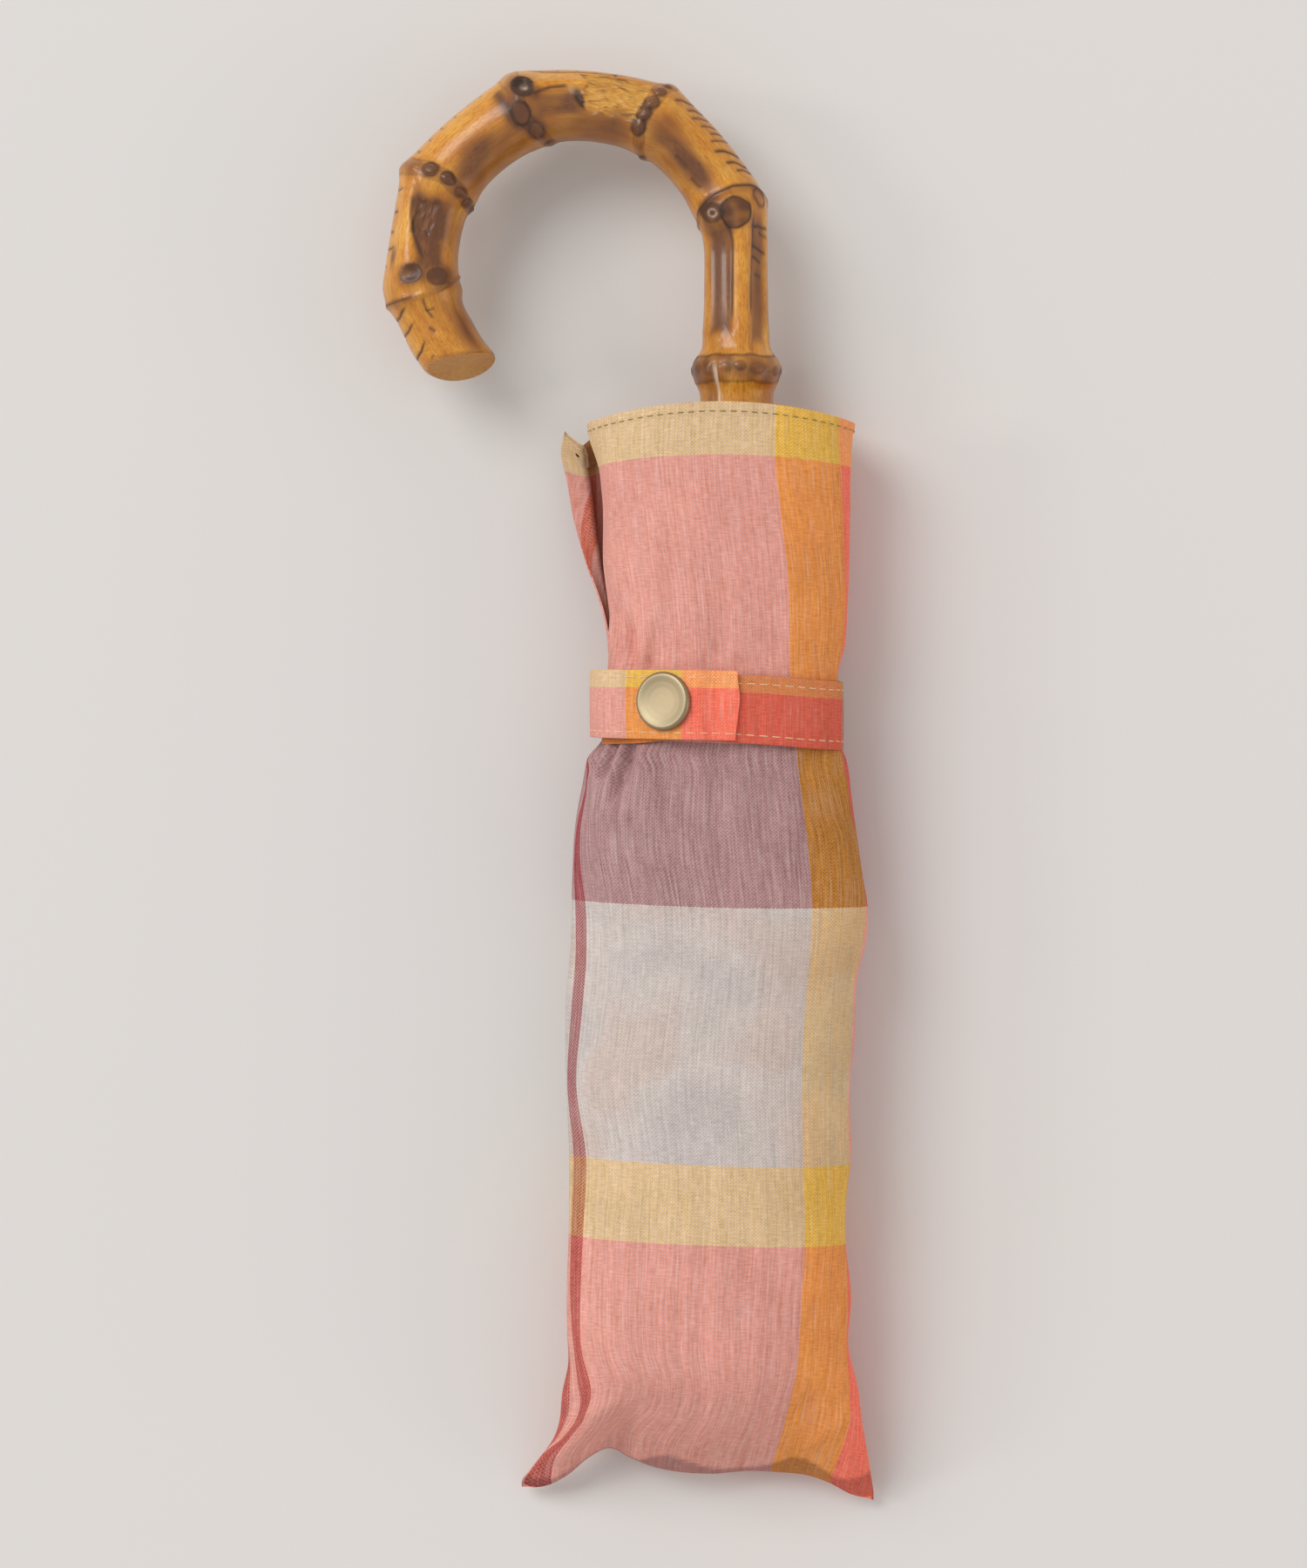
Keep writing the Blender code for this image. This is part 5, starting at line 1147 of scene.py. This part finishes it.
def sew(name, starts, ends, outs, material, body):
    nothingSelected()
    bpy.ops.mesh.primitive_uv_sphere_add(segments=6, ring_count=5, radius=1.0)
    piece = bpy.context.object
    piece.name = name
    base = np.array([vertex.co for vertex in piece.data.vertices])
    # sorted, because the primitive's faces come in another order on each run
    faces = sorted(list(face.vertices) for face in piece.data.polygons)
    points, polygons = [], []
    for start, end, out in zip(starts, ends, outs):
        run = (end - start) / 2
        length = np.linalg.norm(run)
        along = run / length
        side = np.cross(out, along)
        # blunt ends: the sphere's ends are drawn out into a capsule
        lengthwise = np.sign(base[:, 2]) * np.abs(base[:, 2]) ** 0.6 * length
        spot = ((start + end) / 2 + np.outer(lengthwise, along) + np.outer(base[:, 0] * sewing["width"], side)
                + np.outer(base[:, 1] * sewing["height"], out))
        polygons += [[at + len(points) for at in face] for face in faces]
        points += list(spot * mm)
    mesh = bpy.data.meshes.new(name)
    mesh.from_pydata(points, [], polygons)
    mesh.update()
    piece.data = mesh
    smoothed(piece, 180)
    return dressed(piece, material, body, "cotton")


def stitchRow(grid, outs, row, pitch, length, lift):
    # stitches along one row of a bent grid, as their starts, ends and ways out
    line = grid[row]
    way = outs[row]
    arc = np.concatenate([[0.0], np.cumsum(np.linalg.norm(np.diff(line, axis=0), axis=1))])
    places = np.arange(pitch / 2, arc[-1] - length, pitch)

    def at(values, spots):
        return np.stack([np.interp(spots, arc, values[:, part]) for part in range(3)], axis=-1)

    out = at(way, places + length / 2)
    starts = at(line, places) + out * lift
    ends = at(line, places + length) + out * lift
    return starts, ends, out


oliveThread = makeThread("oliveSewingThread", "#94824E")
tanThread = makeThread("tanSewingThread", "#EBC49C")


def sewStraps():
    look = strapBand
    made = []
    for name, place, part, body in (("strapUnderStitches", placeUnder, "under", "sleeve"),
                                    ("strapFlapStitches", placeFlap, "flap", "strap_flap")):
        edges = (sewing["edgeRows"], look[part]["rows"] - sewing["edgeRows"])
        rows = [stitchRow(place.grid, place.out, row, *sewing["strapRow"]) for row in edges]
        made.append(sew(name, *(np.concatenate(both) for both in zip(*rows)), tanThread, body))
    return made


def sewRim():
    grid = placeSleeve.grid
    runs = np.gradient(grid, axis=1)
    rises = np.gradient(grid, axis=0)
    outs = np.cross(runs, rises)
    outs = outs / np.maximum(np.linalg.norm(outs, axis=-1, keepdims=True), 1e-9)
    look = sleeveCloth
    shares, depths = zip(*look["rowPlaces"])
    rimRow = round(look["rows"] * float(np.interp(-sewing["rimDepth"], [-depth for depth in depths], shares)))
    # the row ends before the turned strip of the slit
    last = int(sewing["rimEnd"] * grid.shape[1])
    starts, ends, out = stitchRow(grid[:, :last], outs[:, :last], rimRow, *sewing["rimRow"])
    return sew("hemStitches", starts, ends, out, oliveThread, "sleeve")


strapSewing = sewStraps()
hemSewing = sewRim()
print("sewing done")


# the canopy: thin checked cotton, gathered in sharp pleats round each rib
canopyPleats = {
    "columns": 96, "rows": 60, "from": -89.5, "to": 92.0, "innerRadius": 12.2, "pleats": 5, "halfAngle": 27.0,
    "bundle": (-30.4, 24.2, 3.4, 39.2), "square": 2.1, "margin": 0.7,
    "firstRib": 30.0, "ribStep": 60.0, "clothStep": 35.0, "clothFrom": 60.0,
}
canopyCloth = makeCotton("canopyCotton")


def bundleReach(degrees):
    # from the shaft to the bundle's outside, in one direction
    look = canopyPleats
    left, right, bottom, top = look["bundle"]
    sideways, upward = np.sin(np.radians(degrees)), np.cos(np.radians(degrees))
    reach = np.linspace(0, 40, 401)
    x = reach[:, None] * sideways.reshape(1, -1)
    z = reach[:, None] * upward.reshape(1, -1)
    level = np.abs((x - (left + right) / 2) / ((right - left) / 2)) ** look["square"]
    level = level + np.abs(z / ((top - bottom) / 2)) ** look["square"]
    return (reach[(level < 1).sum(axis=0) - 1]).reshape(degrees.shape)


def makePleats(number):
    look = canopyPleats
    middle = look["firstRib"] + look["ribStep"] * (number - 1)

    def place(across, along):
        wave = 0.5 - 0.5 * np.cos(2 * np.pi * look["pleats"] * across)
        lean = 3.0 * np.sin(2 * np.pi * look["pleats"] * across)
        lean = lean * (1 + 0.3 * ripple(along * 3.0, across * 4.0, number))
        degrees = middle + look["halfAngle"] * (2 * across - 1) + lean
        uneven = 0.7 * (0.5 + 0.5 * ripple(along * 9.0, across * 5.0, number + 3))
        outer = bundleReach(degrees) - look["margin"] - uneven
        radius = look["innerRadius"] + (outer - look["innerRadius"]) * wave ** 0.8
        x = radius * np.sin(np.radians(degrees))
        z = bambooCrook["height"] + radius * np.cos(np.radians(degrees))
        y = look["from"] + (look["to"] - look["from"]) * along
        arc = arcAcross(x, z)
        place.width = float(arc[:, -1].mean())
        flat = [arc + look["clothStep"] * number, look["clothFrom"] + y - look["from"]]
        return np.stack([x, y, z], axis=-1), np.stack(flat, axis=-1)

    piece = bendGrid("canopyPleats" + str(number), look["columns"], look["rows"], place, "cloth")
    smoothed(piece, 180)
    dressed(piece, canopyCloth, "inner_rib_" + str(number), "canopy", "canopy_fold_" + str(number))


for number in range(1, 7):
    makePleats(number)
print("canopy made")

# the pieces that keep their CAD shape
kept = {
    "upper_tube": platedSteel, "lower_tube": platedSteel, "notch_wire": platedSteel,
    "handle_collar": satinBrass, "ferrule_tip": satinBrass, "shaft_catch": satinBrass, "runner_catch": satinBrass,
    "snap_socket": satinBrass, "snap_stud": satinBrass, "top_notch": blackNylon, "runner": blackNylon,
}
for number in range(1, 7):
    for part in ("inner_rib_", "outer_rib_", "stretcher_"):
        kept[part + str(number)] = platedSteel
    kept["rib_tip_" + str(number)] = ivoryNylon
for name, material in kept.items():
    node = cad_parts[name]
    node.data.materials.clear()
    node.data.materials.append(material)
    smoothed(node, 30)
print("CAD pieces dressed,", len(kept))

# a pale studio floor, a soft sky, one large lamp from the upper left, a small low one from the left
# and a weak one from the right
studio = {
    "floor": "#DEDBD8", "floorSize": 12.0, "floorHeight": -0.0004, "sky": 0.61,
    # each lamp: name, place, power, size, colour
    "lamps": (
        ("windowLamp", (-3.4, 3.2, 5.0), 200.0, 3.8, "#FFFFFF"),
        ("sideLamp", (-4.2, 0.5, 2.5), 26.0, 0.9, "#FFF6EE"),
        ("fillLamp", (3.0, -0.6, 1.0), 11.0, 1.6, "#FFD8BE"),
    ),
    "aim": (-0.02, 0.04, 0.02), "eye": (-0.0214, 0.0439), "distance": 1.6, "viewHeight": 0.405, "viewPlane": 0.020,
    "sensor": 36.0,
}


def makeStudio():
    look = studio
    nothingSelected()
    bpy.ops.mesh.primitive_plane_add(size=look["floorSize"], location=(0.0, 0.0, look["floorHeight"]))
    floor = bpy.context.object
    floor.name = "studioFloor"
    made, tree, shader = startMaterial("paleBackdropPaper")
    fill(tree, shader, {"Base Color": linear(look["floor"]), "Roughness": 0.95, "Specular IOR Level": 0.1})
    floor.data.materials.append(made)
    world = bpy.data.worlds.new("softSky")
    bpy.context.scene.world = world
    world.use_nodes = True
    sky = world.node_tree.nodes["Background"]
    sky.inputs["Color"].default_value = (1.0, 1.0, 1.0, 1.0)
    sky.inputs["Strength"].default_value = look["sky"]
    for name, place, power, size, colour in look["lamps"]:
        nothingSelected()
        bpy.ops.object.light_add(type="AREA", location=place)
        lamp = bpy.context.object
        lamp.name = name
        lamp.data.shape = "DISK"
        lamp.data.size = size
        lamp.data.energy = power
        lamp.data.color = linear(colour)[:3]
        away = [spot - aim for spot, aim in zip(place, look["aim"])]
        level = math.hypot(away[0], away[1])
        lamp.rotation_euler = (math.atan2(level, away[2]), 0.0, math.atan2(away[0], -away[1]))
    nothingSelected()
    eye = (*look["eye"], look["viewPlane"] + look["distance"])
    bpy.ops.object.camera_add(location=eye, rotation=(0.0, 0.0, 0.0))
    camera = bpy.context.object
    camera.name = "photoCamera"
    camera.data.sensor_fit = "VERTICAL"
    camera.data.sensor_height = look["sensor"]
    camera.data.lens = look["sensor"] * look["distance"] / look["viewHeight"]
    bpy.context.scene.camera = camera
    bpy.context.scene.view_settings.view_transform = "Standard"


makeStudio()
